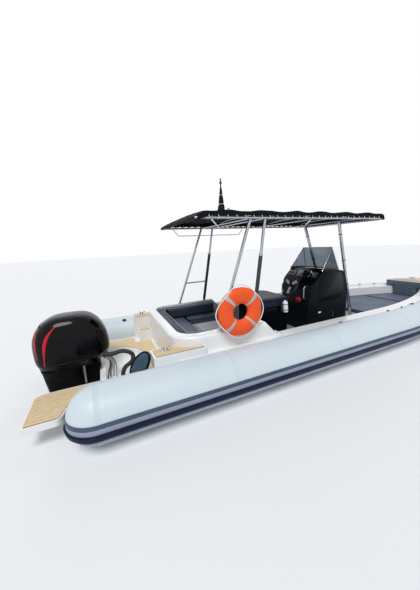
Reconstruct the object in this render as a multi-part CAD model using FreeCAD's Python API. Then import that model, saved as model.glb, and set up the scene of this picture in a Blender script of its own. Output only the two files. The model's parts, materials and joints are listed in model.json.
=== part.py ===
"""Rigid inflatable boat with an outboard engine, console and sun canopy.

Units are millimetres. The origin lies on the centreline, at the foot of the
transom's aft face, on the waterline. +X points to the bow, +Y to port, +Z up.
"""
import FreeCAD, Part
import math
import os

Vector = FreeCAD.Vector
UP = Vector(0, 0, 1)
AHEAD = Vector(1, 0, 0)
ABEAM = Vector(0, 1, 0)

# Buoyancy tube
tube_radius = 266.0
tube_y = 1098.0
tube_z = 300.0
tube_end_x = -10.0
straight_end_x = 4400.0
bow_side_radius = 6500.0
bow_nose_radius = 380.0

# Bands and strake on the tube, as angles round its section in degrees
upper_line_angles = (6.0, 10.0)
grey_band_angles = (-38.0, 6.0)
strake_angles = (-15.5, -6.5)
thin_line_angles = (-24.0, -22.0)
band_thickness = 3.0
strake_depth = 22.0
line_depth = 5.0
band_wrap_degrees = 150.0

# Rigid hull
keel_depth = 370.0
hull_top_z = 130.0
transom_height = 270.0
transom_thickness = 65.0
transom_half_width = 420.0
chine_flat = 45.0

# Inner moulding
floor_z = 172.0
aft_deck_z = 256.0
gunwale_z = 530.0
liner_inside_y = 790.0
well_radius = 500.0
well_floor_z = 190.0
ledge_z = 620.0
ledge_inner_y = 715.0
ledge_outer_y = 955.0
ledge_start_x = 550.0
ledge_end_x = 1150.0
step_z = 440.0
step_inner_y = 545.0
step_start_x = 600.0

# Swim platforms
platform_aft_x = -648.0
platform_outer_y = 975.0
platform_inner_y = 430.0
platform_thickness = 60.0
platform_chamfer = 90.0
platform_corner = 70.0
pad_thickness = 7.0
pad_margin = 24.0

# Aft seat
seat_aft_x = 800.0
seat_front_x = 2260.0
seat_side_y = 880.0
seat_corner_radius = 320.0
coaming_z = 735.0
coaming_width = 105.0
coaming_slope_start_x = 2010.0
seat_shelf_z = 400.0
seat_depth = 520.0
side_seat_width = 300.0
cushion_thickness = 100.0
back_thickness = 130.0
back_height = 205.0
soft_gap = 0.5

# Leaning post
post_aft_x = 2300.0
post_front_x = 2900.0
post_half_width = 370.0
post_body_z = 730.0
post_cushion_thickness = 140.0
bottle_x = 2740.0
bottle_radius = 44.0
bottle_z = 645.0
bottle_height = 210.0

# Console
console_aft_x = 3290.0
console_length = 940.0
console_front_x = console_aft_x + console_length
console_half_width = 400.0
console_top_z = 1262.0
console_corner = 60.0
console_aft_half_width = 300.0
console_flare = 150.0
dash_low = (80.0, 1010.0)
dash_high_reach = 330.0
door_width = 355.0
door_height = 400.0
door_bottom_z = 255.0
door_thickness = 14.0
door_setback = 165.0
door_aft_x = console_aft_x + door_setback
door_gap = 5.0

# Grab rails on the console's aft face
grab_rail_z = (765.0, 975.0)
grab_rail_reach = 22.0

# Windscreen
screen_setback = 270.0
screen_length = 400.0
screen_rake = 130.0
screen_base_aft_x = console_aft_x + screen_setback
screen_base_front_x = screen_base_aft_x + screen_length
screen_base_half_width = 375.0
screen_top_x = screen_base_front_x - screen_rake
screen_top_half_width = 320.0
screen_top_z = 1612.0
screen_thickness = 6.0

# Helm
wheel_radius = 185.0
wheel_rim_radius = 15.0
wheel_reach = 75.0
wheel_centre_x = console_aft_x - wheel_reach
wheel_centre_z = 985.0
wheel_tilt = 20.0

# Canopy frame
post_radius = 19.0
sleeve_radius = 24.0
rail_radius = 15.0
roof_z = 2040.0
roof_aft_x = 1160.0
roof_front_x = 4400.0
roof_half_width = 790.0
aft_post_foot_x = 1385.0
aft_post_head_x = 1867.0
fore_post_foot_x = 1865.0
fore_post_head_x = 2080.0
post_foot_y = 812.0
front_post_foot_x = 4543.0
front_post_foot_y = 270.0
front_post_head_x = 3889.0
front_post_head_y = 375.0
post_bar_z = 1090.0
canopy_crown = 40.0
canopy_thickness = 6.0
hem_height = 80.0
end_slope_degrees = 30.0
end_wall_height = 13.0
hem_depth = 14.0
cloth_gap = 0.3
hanger_span = (1355.0, 2735.0)
hanger_drop = 122.0
hanger_radius = 6.5
bow_radius = 9.0
bow_shoulder_y = 400.0
bow_places = (1350.0, 2180.0, 3300.0, 4210.0)

# Light staff
staff_x = 1878.0
staff_top_z = 2668.0

# Lifebuoy
buoy_x = 1597.0
buoy_y = 944.0
buoy_z = 959.0
buoy_ring_radius = 196.0
buoy_section_radius = 97.0
buoy_section_depth = 54.0
buoy_hooks = ((1430.0, 856.0), (1743.0, post_bar_z))

# Sun deck at the bow
sundeck_aft_x = 4690.0
sundeck_base_z = 270.0
sunpad_thickness = 82.0
bow_step_x = 6900.0
bow_step_z = 700.0
bow_back_thickness = 95.0
backrest_gap = 14.0
sunpad_split_x = 6050.0

# Engine
tilt_x = -12.0
tilt_z = 345.0
kingpin_x = -135.0
tilt_limit = 65.0
cowl_top_z = 1003.0
cowl_base_z = 390.0
plate_z = -345.0
shaft_z = -550.0
skeg_z = -775.0
hub_radius = 52.0

# Rigging hose, with its port on the cowl as a point and an outward direction
hose_port = ((78.6, -248.4, 500.0), (0.6169, -0.7871, 0.0))
hose_radius = 27.0
grommet_reach = 24.0

# Oval pad on the aft deck
oval_centre = (452.0, -590.0, 430.0)
oval_half_height = 165.0
oval_half_width = 92.0
oval_thickness = 46.0

# Rope lugs on the collar
lug_places = (4330.0, 4720.0, 5110.0, 5500.0, 5890.0, 6280.0, 6670.0)

# Towing eye
bow_eye = (7307.6, -37.9)
bow_eye_radius = 12.0
running_gap = 0.05

bow_centre_x = straight_end_x + math.sqrt(
    (bow_side_radius - bow_nose_radius) ** 2 - (bow_side_radius - tube_y) ** 2)
bow_turn = math.degrees(math.atan2(bow_centre_x - straight_end_x, bow_side_radius - tube_y))
bow_tip_x = bow_centre_x + bow_nose_radius + tube_radius
PARTS = {}


def in_plan(z):
    """Return a mapping from plan coordinates to space at height z."""
    return lambda u, v: Vector(u, v, z)


def in_profile(y):
    """Return a mapping from side-view coordinates to space at breadth y."""
    return lambda u, v: Vector(u, y, v)


def rounded_wire(corners, place):
    """Return a closed wire through (u, v, radius) corners, rounded by tangent arcs."""
    count = len(corners)
    runs = []
    for index, (u, v, radius) in enumerate(corners):
        here = Vector(u, v, 0)
        before = Vector(*corners[index - 1][:2], 0)
        after = Vector(*corners[(index + 1) % count][:2], 0)
        back = (before - here).normalize()
        ahead = (after - here).normalize()
        if radius < 0.01:
            runs.append((here, here, here))
            continue
        half = back.getAngle(ahead) / 2
        reach = radius / math.tan(half)
        middle = here + (back + ahead).normalize() * (radius / math.sin(half) - radius)
        runs.append((here + back * reach, middle, here + ahead * reach))
    edges = []
    for index, (start, middle, end) in enumerate(runs):
        if (end - start).Length > 0.01:
            edges.append(Part.Arc(place(start.x, start.y), place(middle.x, middle.y),
                                  place(end.x, end.y)).toShape())
        following = runs[(index + 1) % count][0]
        if (following - end).Length > 0.01:
            edges.append(Part.LineSegment(place(end.x, end.y),
                                          place(following.x, following.y)).toShape())
    return Part.Wire(edges)


def slab(corners, z_low, z_high):
    """Return a plan outline pulled up between two heights."""
    face = Part.Face(rounded_wire(corners, in_plan(z_low)))
    return face.extrude(Vector(0, 0, z_high - z_low))


def side_plate(corners, y_low, y_high):
    """Return a side-view outline pulled across between two breadths."""
    face = Part.Face(rounded_wire(corners, in_profile(y_low)))
    return face.extrude(Vector(0, y_high - y_low, 0))


def box(x_low, x_high, y_low, y_high, z_low, z_high):
    """Return a box between its lowest and highest corners."""
    size = (x_high - x_low, y_high - y_low, z_high - z_low)
    return Part.makeBox(*size, Vector(x_low, y_low, z_low))


def rod(start, end, radius):
    """Return a round bar between two points."""
    return Part.makeCylinder(radius, (end - start).Length, start, end - start)


def flipped(shape):
    """Return the shape's image on the other side of the centreline."""
    return shape.mirror(Vector(0, 0, 0), ABEAM)


def joined(shapes):
    """Return the shapes fused and cleaned of inner seams."""
    first, *rest = shapes
    return first.multiFuse(rest).removeSplitter() if rest else first


def bent_tube(points, bend, radius):
    """Return a round tube along straight runs joined by arcs of one bend radius."""
    points = [Vector(*point) for point in points]
    edges = []
    last = points[0]
    for before, here, after in zip(points, points[1:], points[2:]):
        back = (before - here).normalize()
        ahead = (after - here).normalize()
        half = back.getAngle(ahead) / 2
        reach = bend / math.tan(half)
        middle = here + (back + ahead).normalize() * (bend / math.sin(half) - bend)
        start = here + back * reach
        end = here + ahead * reach
        edges.append(Part.LineSegment(last, start).toShape())
        edges.append(Part.Arc(start, middle, end).toShape())
        last = end
    edges.append(Part.LineSegment(last, points[-1]).toShape())
    profile = Part.Wire([Part.Circle(points[0], points[1] - points[0], radius).toShape()])
    return Part.Wire(edges).makePipeShell([profile], True, False)


def centreline_offset(x):
    """Return the tube centreline's half breadth at a length x."""
    if x <= straight_end_x:
        return tube_y
    drop = bow_side_radius - math.sqrt(bow_side_radius ** 2 - (x - straight_end_x) ** 2)
    return tube_y - drop


def round_the_boat(face, stern_wrap):
    """Return a starboard section face carried round the bow to port, as one solid."""
    side_centre = Vector(straight_end_x, bow_side_radius - tube_y, 0)
    nose_centre = Vector(bow_centre_x, 0, 0)
    straight = face.extrude(Vector(straight_end_x - tube_end_x, 0, 0))
    at_bend = face.translated(Vector(straight_end_x - tube_end_x, 0, 0))
    shoulder = at_bend.revolve(side_centre, UP, bow_turn)
    at_nose = at_bend.rotated(side_centre, UP, bow_turn)
    nose = at_nose.revolve(nose_centre, UP, 180 - 2 * bow_turn)
    half = [straight, shoulder]
    if stern_wrap:
        half.append(face.revolve(Vector(tube_end_x, -tube_y, 0), UP, -stern_wrap))
    return joined(half + [nose] + [flipped(piece) for piece in half])


def band(angles, inner, outer):
    """Return a band that lies on the tube between two angles of its section."""
    low, high = (math.radians(angle) for angle in angles)

    def at(angle, reach):
        return Vector(tube_end_x, -tube_y - reach * math.cos(angle),
                      tube_z + reach * math.sin(angle))
    middle = (low + high) / 2
    edges = [Part.Arc(at(low, inner), at(middle, inner), at(high, inner)).toShape(),
             Part.LineSegment(at(high, inner), at(high, outer)).toShape(),
             Part.Arc(at(high, outer), at(middle, outer), at(low, outer)).toShape(),
             Part.LineSegment(at(low, outer), at(low, inner)).toShape()]
    return round_the_boat(Part.Face(Part.Wire(edges)), band_wrap_degrees)


def plan_outline(offset, x_start, z_low, z_high):
    """Return the area inside the tube's centreline moved out by an offset, as a slab."""
    if x_start > straight_end_x:
        whole = plan_outline(offset, 0, z_low, z_high)
        return whole.cut(box(-10, x_start, -2000, 2000, z_low - 10, z_high + 10))
    side = tube_y + offset
    side_reach = bow_side_radius + offset
    nose_reach = bow_nose_radius + offset
    turn = math.radians(bow_turn)
    side_centre = Vector(straight_end_x, bow_side_radius - tube_y, z_low)

    def on_shoulder(angle):
        return side_centre + Vector(math.sin(angle), -math.cos(angle), 0) * side_reach
    start = Vector(x_start, -side, z_low)
    bend = Vector(straight_end_x, -side, z_low)
    shoulder_end = on_shoulder(turn)
    nose = Vector(bow_centre_x + nose_reach, 0, z_low)

    def port(point):
        return Vector(point.x, -point.y, point.z)
    edges = [Part.LineSegment(start, bend).toShape(),
             Part.Arc(bend, on_shoulder(turn / 2), shoulder_end).toShape(),
             Part.Arc(shoulder_end, nose, port(shoulder_end)).toShape(),
             Part.Arc(port(shoulder_end), port(on_shoulder(turn / 2)), port(bend)).toShape(),
             Part.LineSegment(port(bend), port(start)).toShape(),
             Part.LineSegment(port(start), start).toShape()]
    return Part.Face(Part.Wire(edges)).extrude(Vector(0, 0, z_high - z_low))


def build_tube():
    """Return the inflated collar, domed at both stern ends."""
    circle = Part.Wire([Part.Circle(Vector(tube_end_x, -tube_y, tube_z), AHEAD,
                                    tube_radius).toShape()])
    body = round_the_boat(Part.Face(circle), 0)
    domes = [Part.makeSphere(tube_radius, Vector(tube_end_x, side * tube_y, tube_z))
             for side in (-1, 1)]
    return joined([body] + domes)


# Hull stations: x, keel height, chine breadth, chine height, top breadth
hull_stations = (
    (0.0, -1.00, 905.0, -45.0, 960.0),
    (2600.0, -1.03, 905.0, -40.0, 960.0),
    (4400.0, -1.00, 885.0, -10.0, 950.0),
    (5600.0, -0.86, 770.0, 40.0, 860.0),
    (6500.0, -0.55, 570.0, 85.0, 640.0),
    (7150.0, -0.16, 330.0, 108.0, 390.0),
    (7560.0, 0.18, 90.0, 118.0, 130.0),
)


def build_hull(tube):
    """Return the vee-bottomed hull with its chine flats, seated under the collar."""
    sections = []
    for x, keel, chine_y, chine_z, top_y in hull_stations:
        half = [(chine_y, chine_z), (chine_y + chine_flat, chine_z + 4), (top_y + 40, hull_top_z)]
        points = [(0.0, keel * keel_depth)] + half + [(-u, v) for u, v in reversed(half)]
        wire = Part.makePolygon([Vector(x, u, v) for u, v in points + points[:1]])
        sections.append(wire)
    return Part.makeLoft(sections, True, True).cut(tube)


def build_deck(tube):
    """Return the inner moulding: floor, gunwales, aft deck, transom and side ledges."""
    floor = plan_outline(-120, 0, hull_top_z, floor_z)
    gunwale = plan_outline(-120, seat_aft_x, floor_z, gunwale_z)
    inside = plan_outline(liner_inside_y - tube_y, seat_aft_x - 10, floor_z, gunwale_z + 10)
    gunwale = gunwale.cut(inside)
    aft_deck = box(0, seat_aft_x, -980, 980, floor_z, aft_deck_z)
    transom = slab(((0, -transom_half_width, 0), (transom_thickness, -transom_half_width, 0),
                    (transom_thickness, transom_half_width, 0), (0, transom_half_width, 0)),
                   floor_z, transom_height)
    well = Part.makeCylinder(well_radius, 500, Vector(transom_thickness, 0, well_floor_z))
    well = well.common(box(transom_thickness, 900, -600, 600, 0, 900))
    ledges = []
    for side in (-1, 1):
        low, high = sorted((side * ledge_inner_y, side * ledge_outer_y))
        ledge = slab(((ledge_start_x, low, 25), (ledge_end_x, low, 25),
                      (ledge_end_x, high, 25), (ledge_start_x, high, 25)),
                     aft_deck_z, ledge_z)
        ledges.append(ledge.cut(slab(seat_outline(0, seat_front_x), aft_deck_z, ledge_z)))
        low, high = sorted((side * step_inner_y, side * ledge_inner_y))
        ledges.append(box(step_start_x, seat_aft_x, low, high, aft_deck_z, step_z))
    whole = joined([floor, gunwale, aft_deck.cut(well), transom] + ledges)
    return whole.cut(tube)


def build_platforms():
    """Return the two swim platforms that stand out behind the tube ends."""
    front = 0.0
    shapes = []
    for side in (-1, 1):
        corners = [(front, side * platform_inner_y, 0),
                   (platform_aft_x, side * platform_inner_y, platform_chamfer),
                   (platform_aft_x, side * platform_outer_y, 12),
                   (-330, side * platform_outer_y, platform_corner),
                   (-300, side * (platform_outer_y - 160), 40),
                   (front, side * (tube_y - tube_radius - 4), 0)]
        if side > 0:
            corners.reverse()
        shapes.append(slab(corners, aft_deck_z - platform_thickness, aft_deck_z))
    return shapes


def seat_outline(inset, front_x):
    """Return the plan corners of the aft seat, drawn in by an inset."""
    side = seat_side_y - inset
    radius = seat_corner_radius - inset
    aft = seat_aft_x + inset
    return [(front_x, -side, 0), (front_x, side, 0), (aft, side, radius), (aft, -side, radius)]


def build_seat(tube, deck):
    """Return the U-shaped seat moulding with its coaming and footwell."""
    inner_y = seat_side_y - coaming_width
    well_aft_x = seat_aft_x + coaming_width + seat_depth
    body = slab(seat_outline(0, seat_front_x), floor_z, coaming_z)
    rim = [edge for edge in body.Edges if edge.CenterOfMass.z > coaming_z - 1
           and edge.CenterOfMass.x < seat_front_x - 1]
    body = body.makeFillet(38, rim)
    cavity = slab(seat_outline(coaming_width, seat_front_x + 50), seat_shelf_z, coaming_z + 50)
    footwell = box(well_aft_x, seat_front_x + 50, side_seat_width - inner_y,
                   inner_y - side_seat_width, floor_z, coaming_z)
    slope = side_plate(((coaming_slope_start_x, coaming_z + 200, 0),
                        (coaming_slope_start_x, coaming_z, 110),
                        (seat_front_x - 70, gunwale_z + 20, 90),
                        (seat_front_x + 60, gunwale_z + 20, 0),
                        (seat_front_x + 60, coaming_z + 200, 0)), -1200, 1200)
    return body.cut(cavity).cut(footwell).cut(slope).cut(deck).cut(tube)


def build_seat_cushions():
    """Return the seat base cushions and the back cushions, each as one compound."""
    inset = coaming_width + soft_gap
    inner_y = seat_side_y - inset
    join_x = seat_aft_x + inset + seat_depth
    front_x = seat_front_x - 130
    base_low = seat_shelf_z + soft_gap
    base_high = base_low + cushion_thickness
    bases = slab(seat_outline(inset, front_x), base_low, base_high)
    aft_base = bases.common(box(0, join_x - soft_gap, -2000, 2000, 0, 2000))
    parts = [aft_base]
    for side in (-1, 1):
        low, high = sorted((side * (inner_y - side_seat_width), side * inner_y))
        parts.append(box(join_x + soft_gap, front_x, low, high, base_low, base_high))
    back_low = base_high + soft_gap
    back_front_x = seat_front_x - 260
    ring = slab(seat_outline(inset, back_front_x), back_low, back_low + back_height)
    hollow = slab(seat_outline(inset + back_thickness, back_front_x + 50), 0, 2000)
    ring = ring.cut(hollow)
    back_join_x = seat_aft_x + inset + back_thickness + 60
    backs = [ring.common(box(0, back_join_x, -2000, 2000, 0, 2000))]
    for side in (-1, 1):
        low, high = sorted((side * 100, side * 2000))
        backs.append(ring.common(box(back_join_x + 2 * soft_gap, 4000, low, high, 0, 2000)))
    return Part.makeCompound(parts), Part.makeCompound(backs)


def build_leaning_post():
    """Return the helm seat's pedestal and its cushion."""
    def outline(inset, radius):
        return [(post_aft_x + inset, -post_half_width + inset, radius),
                (post_front_x - inset, -post_half_width + inset, radius),
                (post_front_x - inset, post_half_width - inset, radius),
                (post_aft_x + inset, post_half_width - inset, radius)]
    body = slab(outline(20, 60), floor_z, post_body_z)
    cushion = slab(outline(0, 75), post_body_z + soft_gap,
                   post_body_z + soft_gap + post_cushion_thickness)
    return body, cushion


def build_console():
    """Return the console's shell with its door pocket, and the hatch door."""
    profile = ((console_aft_x + 35, floor_z, 0), (console_front_x + 40, floor_z, 0),
               (console_front_x + 10, 560, 60), (console_front_x - 150, console_top_z - 60, 90),
               (console_aft_x + dash_high_reach, console_top_z, 60),
               (console_aft_x + dash_low[0], dash_low[1], 40), (console_aft_x + 35, 640, 30))
    shell = side_plate(profile, -console_half_width, console_half_width)
    corner = console_corner
    flare_x = console_aft_x + console_flare
    plan = slab(((console_aft_x, -console_aft_half_width, 30),
                 (flare_x, -console_half_width, corner),
                 (console_front_x + 60, -console_half_width, 150),
                 (console_front_x + 60, console_half_width, 150),
                 (flare_x, console_half_width, corner),
                 (console_aft_x, console_aft_half_width, 30)), 0, 2000)
    shell = shell.common(plan)
    taper = [Vector(0, u, v) for u, v in (
        (-console_half_width, floor_z), (-console_half_width, 720),
        (15 - console_half_width, console_top_z + 9), (console_half_width - 15,
                                                       console_top_z + 9),
        (console_half_width, 720), (console_half_width, floor_z))]
    sides = Part.Face(Part.makePolygon(taper + taper[:1])).extrude(Vector(6000, 0, 0))
    shell = shell.common(sides)
    front_x = door_aft_x + door_width
    top_z = door_bottom_z + door_height
    pocket_face = -console_half_width + door_thickness - 4 + door_gap

    def door_slab(grow, y_low, y_high):
        return side_plate(((door_aft_x - grow, door_bottom_z - grow, 30 + grow),
                           (front_x + grow, door_bottom_z - grow, 30 + grow),
                           (front_x + grow, top_z + grow, 30 + grow),
                           (door_aft_x - grow, top_z + grow, 30 + grow)), y_low, y_high)
    shell = shell.cut(door_slab(door_gap, -console_half_width - 10, pocket_face))
    door = door_slab(0, -console_half_width - 4, -console_half_width - 4 + door_thickness)
    knuckle = hinge_knuckle()
    leaf = box(front_x - 30, knuckle[0], -console_half_width - 8, -console_half_width - 4,
               knuckle[2] + 26, knuckle[2] + 54)
    barrel = rod(Vector(knuckle[0], knuckle[1], knuckle[2] + 26),
                 Vector(knuckle[0], knuckle[1], knuckle[2] + 54), 7)
    pin_hole = rod(Vector(knuckle[0], knuckle[1], knuckle[2] - 10),
                   Vector(knuckle[0], knuckle[1], knuckle[2] + 90), 3 + running_gap)
    latch = rod(Vector(door_aft_x + 45, -console_half_width - 4, top_z - 130),
                Vector(door_aft_x + 45, -console_half_width - 16, top_z - 130), 24)
    door = joined([door, leaf, barrel, latch]).cut(pin_hole)
    ends = [rod(Vector(knuckle[0], knuckle[1], z), Vector(knuckle[0], knuckle[1], z + 24), 7)
            for z in (knuckle[2] + 1, knuckle[2] + 55)]
    feet = [box(knuckle[0] - 2, knuckle[0] + 26, -console_half_width - 12,
                -console_half_width, z, z + 24) for z in (knuckle[2] + 1, knuckle[2] + 55)]
    pin = rod(Vector(knuckle[0], knuckle[1], knuckle[2] + 1),
              Vector(knuckle[0], knuckle[1], knuckle[2] + 79), 3)
    hinge = joined(ends + feet + [pin])
    return shell, door, hinge


def hinge_knuckle():
    """Return the hatch hinge's axis x and y, and its lowest height."""
    return (door_aft_x + door_width + 9, -console_half_width - 13,
            door_bottom_z + door_height / 2 - 40)


def prism(points, thickness):
    """Return a flat panel through its corner points, thickened along its normal."""
    points = [Vector(*point) for point in points]
    face = Part.Face(Part.makePolygon(points + points[:1]))
    return face.extrude(face.normalAt(0, 0) * thickness)


def build_screen(console):
    """Return the windscreen's panels and its tube frame."""
    base_z = console_top_z - 40
    front = prism(((screen_base_front_x, -screen_base_half_width, base_z),
                   (screen_base_front_x, screen_base_half_width, base_z),
                   (screen_top_x, screen_top_half_width, screen_top_z),
                   (screen_top_x, -screen_top_half_width, screen_top_z)), screen_thickness)
    panels = [front]
    rails = [rod(Vector(screen_top_x, -screen_top_half_width, screen_top_z),
                 Vector(screen_top_x, screen_top_half_width, screen_top_z), 9)]
    for side in (-1, 1):
        top = Vector(screen_top_x, side * screen_top_half_width, screen_top_z)
        aft = Vector(screen_base_aft_x, side * screen_base_half_width, base_z)
        fore = Vector(screen_base_front_x, side * screen_base_half_width, base_z)
        panels.append(prism((aft, fore, top), side * screen_thickness))
        rails += [rod(aft, top, 9), rod(fore, top, 9)]
        rails.append(Part.makeSphere(9, top))
    frame = joined(rails).cut(console)
    glass = joined(panels).cut(frame).cut(console)
    return glass, frame


def wheel_axis():
    """Return the unit vector from the dash to the helmsman along the wheel's shaft."""
    tilt = math.radians(wheel_tilt)
    return Vector(-math.cos(tilt), 0, math.sin(tilt))


def build_wheel(console):
    """Return the steering wheel, and the shaft that carries it on the dash."""
    axis = wheel_axis()
    centre = Vector(wheel_centre_x, 0, wheel_centre_z)
    rim = Part.makeTorus(wheel_radius - wheel_rim_radius, wheel_rim_radius, centre, axis)
    hub = rod(centre - axis * 42, centre + axis * 4, 38)
    spokes = []
    for turn in (90, 210, 330):
        reach = Vector(0, 1, 0)
        spoke = rod(centre - axis * 18, centre + reach * (wheel_radius - wheel_rim_radius), 9)
        spokes.append(spoke.rotated(centre, axis, turn))
    bore = rod(centre - axis * 60, centre - axis * 12, 12 + running_gap)
    wheel = joined([rim, hub] + spokes).cut(bore)
    shaft = rod(centre - axis * 200, centre - axis * 13, 12)
    bezel = rod(centre - axis * 200, centre - axis * 50, 44)
    return wheel, joined([shaft, bezel]).cut(console)


def post_line(foot_x, head_x, side, foot_y, head_y, foot_z):
    """Return the foot and head points of a canopy post."""
    return Vector(foot_x, side * foot_y, foot_z), Vector(head_x, side * head_y, roof_z)


def along(ends, z):
    """Return the point of a post's line at height z."""
    foot, head = ends
    return foot + (head - foot) * ((z - foot.z) / (head.z - foot.z))


def build_canopy_frame():
    """Return the aft posts, forward posts, roof frame and hanging rail."""
    head_y = roof_half_width - 22
    aft_posts = []
    front_posts = []
    for side in (-1, 1):
        aft = post_line(aft_post_foot_x, aft_post_head_x, side, post_foot_y, head_y, coaming_z)
        fore = post_line(fore_post_foot_x, fore_post_head_x, side, post_foot_y, head_y, coaming_z)
        for ends in (aft, fore):
            aft_posts.append(rod(*ends, post_radius))
            foot = ends[0]
            aft_posts.append(rod(foot, foot + UP * 10, 31))
        aft_posts.append(rod(fore[0], along(fore, 1600), sleeve_radius))
        aft_posts.append(rod(along(aft, post_bar_z), along(fore, post_bar_z), 13))
        front = post_line(front_post_foot_x, front_post_head_x, side, front_post_foot_y,
                          front_post_head_y, floor_z)
        front_posts.append(rod(front[0], along(front, roof_z - 8), post_radius))
        front_posts.append(rod(front[0], along(front, 1250), sleeve_radius + 2))
        front_posts.append(rod(front[0], front[0] + UP * 10, 50))
    for x, z in buoy_hooks:
        reach = buoy_section_depth - buoy_y + soft_gap
        aft_posts.append(rod(Vector(x, -post_foot_y + 8, z), Vector(x, reach, z), 9))
        aft_posts.append(rod(Vector(x, reach + 5, z), Vector(x, reach, z), 22))
    rails = []
    for side in (-1, 1):
        rails.append(rod(Vector(roof_aft_x, side * roof_half_width, roof_z),
                         Vector(roof_front_x, side * roof_half_width, roof_z), rail_radius))
    cross = [(roof_aft_x, rail_radius), (aft_post_head_x, 13), (fore_post_head_x, 13),
             (2960, 13), (front_post_head_x, 13), (roof_front_x, rail_radius)]
    for x, radius in cross:
        rails.append(rod(Vector(x, -roof_half_width, roof_z),
                         Vector(x, roof_half_width, roof_z), radius))
    for start_x, end_x in ((1330, 2235), (2840, 4278)):
        rails.append(rod(Vector(start_x, -roof_half_width, roof_z),
                         Vector(end_x, roof_half_width, roof_z), 11))
    for x in (roof_aft_x, roof_front_x):
        for side in (-1, 1):
            rails.append(Part.makeSphere(rail_radius, Vector(x, side * roof_half_width, roof_z)))
    roof = joined(rails + build_bows())
    hang_y = roof_half_width + 8
    foot_z = roof_z - hanger_drop
    start_x, end_x = hanger_span
    hanger = bent_tube(((start_x, hang_y, roof_z - 9), (start_x + 85, hang_y, foot_z),
                        (end_x - 85, hang_y, foot_z), (end_x, hang_y, roof_z - 9)),
                       45, hanger_radius)
    aft = joined(aft_posts).cut(roof)
    return aft, front_posts, roof, hanger.cut(aft)


def cloth_height(y, half, crown_z):
    """Return the height at a breadth y of an arched face with a given half breadth and top."""
    radius = (half ** 2 + canopy_crown ** 2) / (2 * canopy_crown)
    return crown_z - (radius - math.sqrt(radius ** 2 - y ** 2))


def cloth_inside():
    """Return the half breadth and the crown height of the canopy's inner face."""
    half = roof_half_width + rail_radius + cloth_gap
    return half, roof_z + hem_height + canopy_crown - canopy_thickness


def canopy_top(y):
    """Return the height of the canopy's upper face at a breadth y."""
    half, crown_z = cloth_inside()
    return cloth_height(y, half + canopy_thickness, crown_z + canopy_thickness)


def build_bows():
    """Return the arched bows that hold the canopy's cloth up off the side rails."""
    half, crown_z = cloth_inside()
    shoulder_z = cloth_height(bow_shoulder_y, half, crown_z) - bow_radius - cloth_gap
    corner_y = roof_half_width - 5
    corner_z = cloth_height(corner_y, half, crown_z) - bow_radius - 2
    bows = []
    for x in bow_places:
        side = [(roof_half_width, roof_z), (corner_y, corner_z), (bow_shoulder_y, shoulder_z)]
        route = [(x, -y, z) for y, z in side] + [(x, y, z) for y, z in reversed(side)]
        bows.append(bent_tube(route, 30, bow_radius))
    return bows


def cloth_block(half, crown_z, inset):
    """Return the space under an arched face that slopes down at both its ends."""
    low = roof_z - hem_depth - (10 if inset else 0)
    shoulder = crown_z - canopy_crown

    def at(y, z):
        return Vector(0, y, z)

    def line(start, end):
        return Part.LineSegment(at(*start), at(*end)).toShape()
    edges = [line((-half, low), (-half, shoulder)),
             Part.Arc(at(-half, shoulder), at(0, crown_z), at(half, shoulder)).toShape(),
             line((half, shoulder), (half, low)), line((half, low), (-half, low))]
    arched = Part.Face(Part.Wire(edges)).extrude(Vector(roof_front_x + 1000, 0, 0))
    slope = math.radians(end_slope_degrees)
    reach = rail_radius + cloth_gap + canopy_thickness
    aft = roof_aft_x - reach + inset
    front = roof_front_x + reach - inset
    wall_z = (roof_z + end_wall_height - inset * math.cos(slope)
              + inset * (1 - math.sin(slope)) * math.tan(slope))
    run = (crown_z + 20 - wall_z) / math.tan(slope)
    ends = side_plate(((aft, low, 0), (front, low, 0), (front, wall_z, 0),
                       (front - run, crown_z + 20, 0), (aft + run, crown_z + 20, 0),
                       (aft, wall_z, 0)), -half - 50, half + 50)
    return arched.common(ends)


def build_canopy():
    """Return the cloth over the bows, with its hems down outside the rails."""
    half, crown_z = cloth_inside()
    outer = cloth_block(half + canopy_thickness, crown_z + canopy_thickness, 0)
    return outer.cut(cloth_block(half, crown_z, canopy_thickness))


def build_masthead():
    """Return the staff on the canopy, its furled flag, and the roof fittings."""
    x = staff_x
    base = canopy_top(0)
    staff = joined([rod(Vector(x, 0, base + 0.3), Vector(x, 0, base + 8), 40),
                    rod(Vector(x, 0, base + 1), Vector(x, 0, staff_top_z), 9),
                    Part.makeSphere(19, Vector(x, 0, staff_top_z - 55))])
    cloth = Part.makeCone(62, 14, 330, Vector(x, 0, base + 60))
    cloth = cloth.cut(rod(Vector(x, 0, base), Vector(x, 0, staff_top_z), 9.3))
    light = joined([rod(Vector(x + 120, 0, base + 0.3), Vector(x + 120, 0, base + 70), 8),
                    rod(Vector(x + 120, 0, base + 60), Vector(x + 120, 0, base + 110), 24)])
    bar = box(x + 160, x + 520, -45, 45, base + 0.3, base + 42)
    dome = rod(Vector(x + 560, 0, base + 0.3), Vector(x + 560, 0, base + 65), 30)
    return staff, cloth, light, Part.makeCompound([bar, dome])


def build_lifebuoy():
    """Return the ring lifebuoy on the starboard posts, and its grab rope."""
    centre = Vector(buoy_x, -buoy_y, buoy_z)
    start = centre + Vector(buoy_ring_radius, 0, 0)
    ellipse = Part.Ellipse(start, buoy_section_radius, buoy_section_depth)
    ring = Part.Face(Part.Wire([ellipse.toShape()])).revolve(centre, ABEAM, 360)
    rope_reach = buoy_ring_radius + buoy_section_radius + 7.5
    rope = Part.makeTorus(rope_reach, 7, centre, ABEAM)
    return ring, rope


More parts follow.
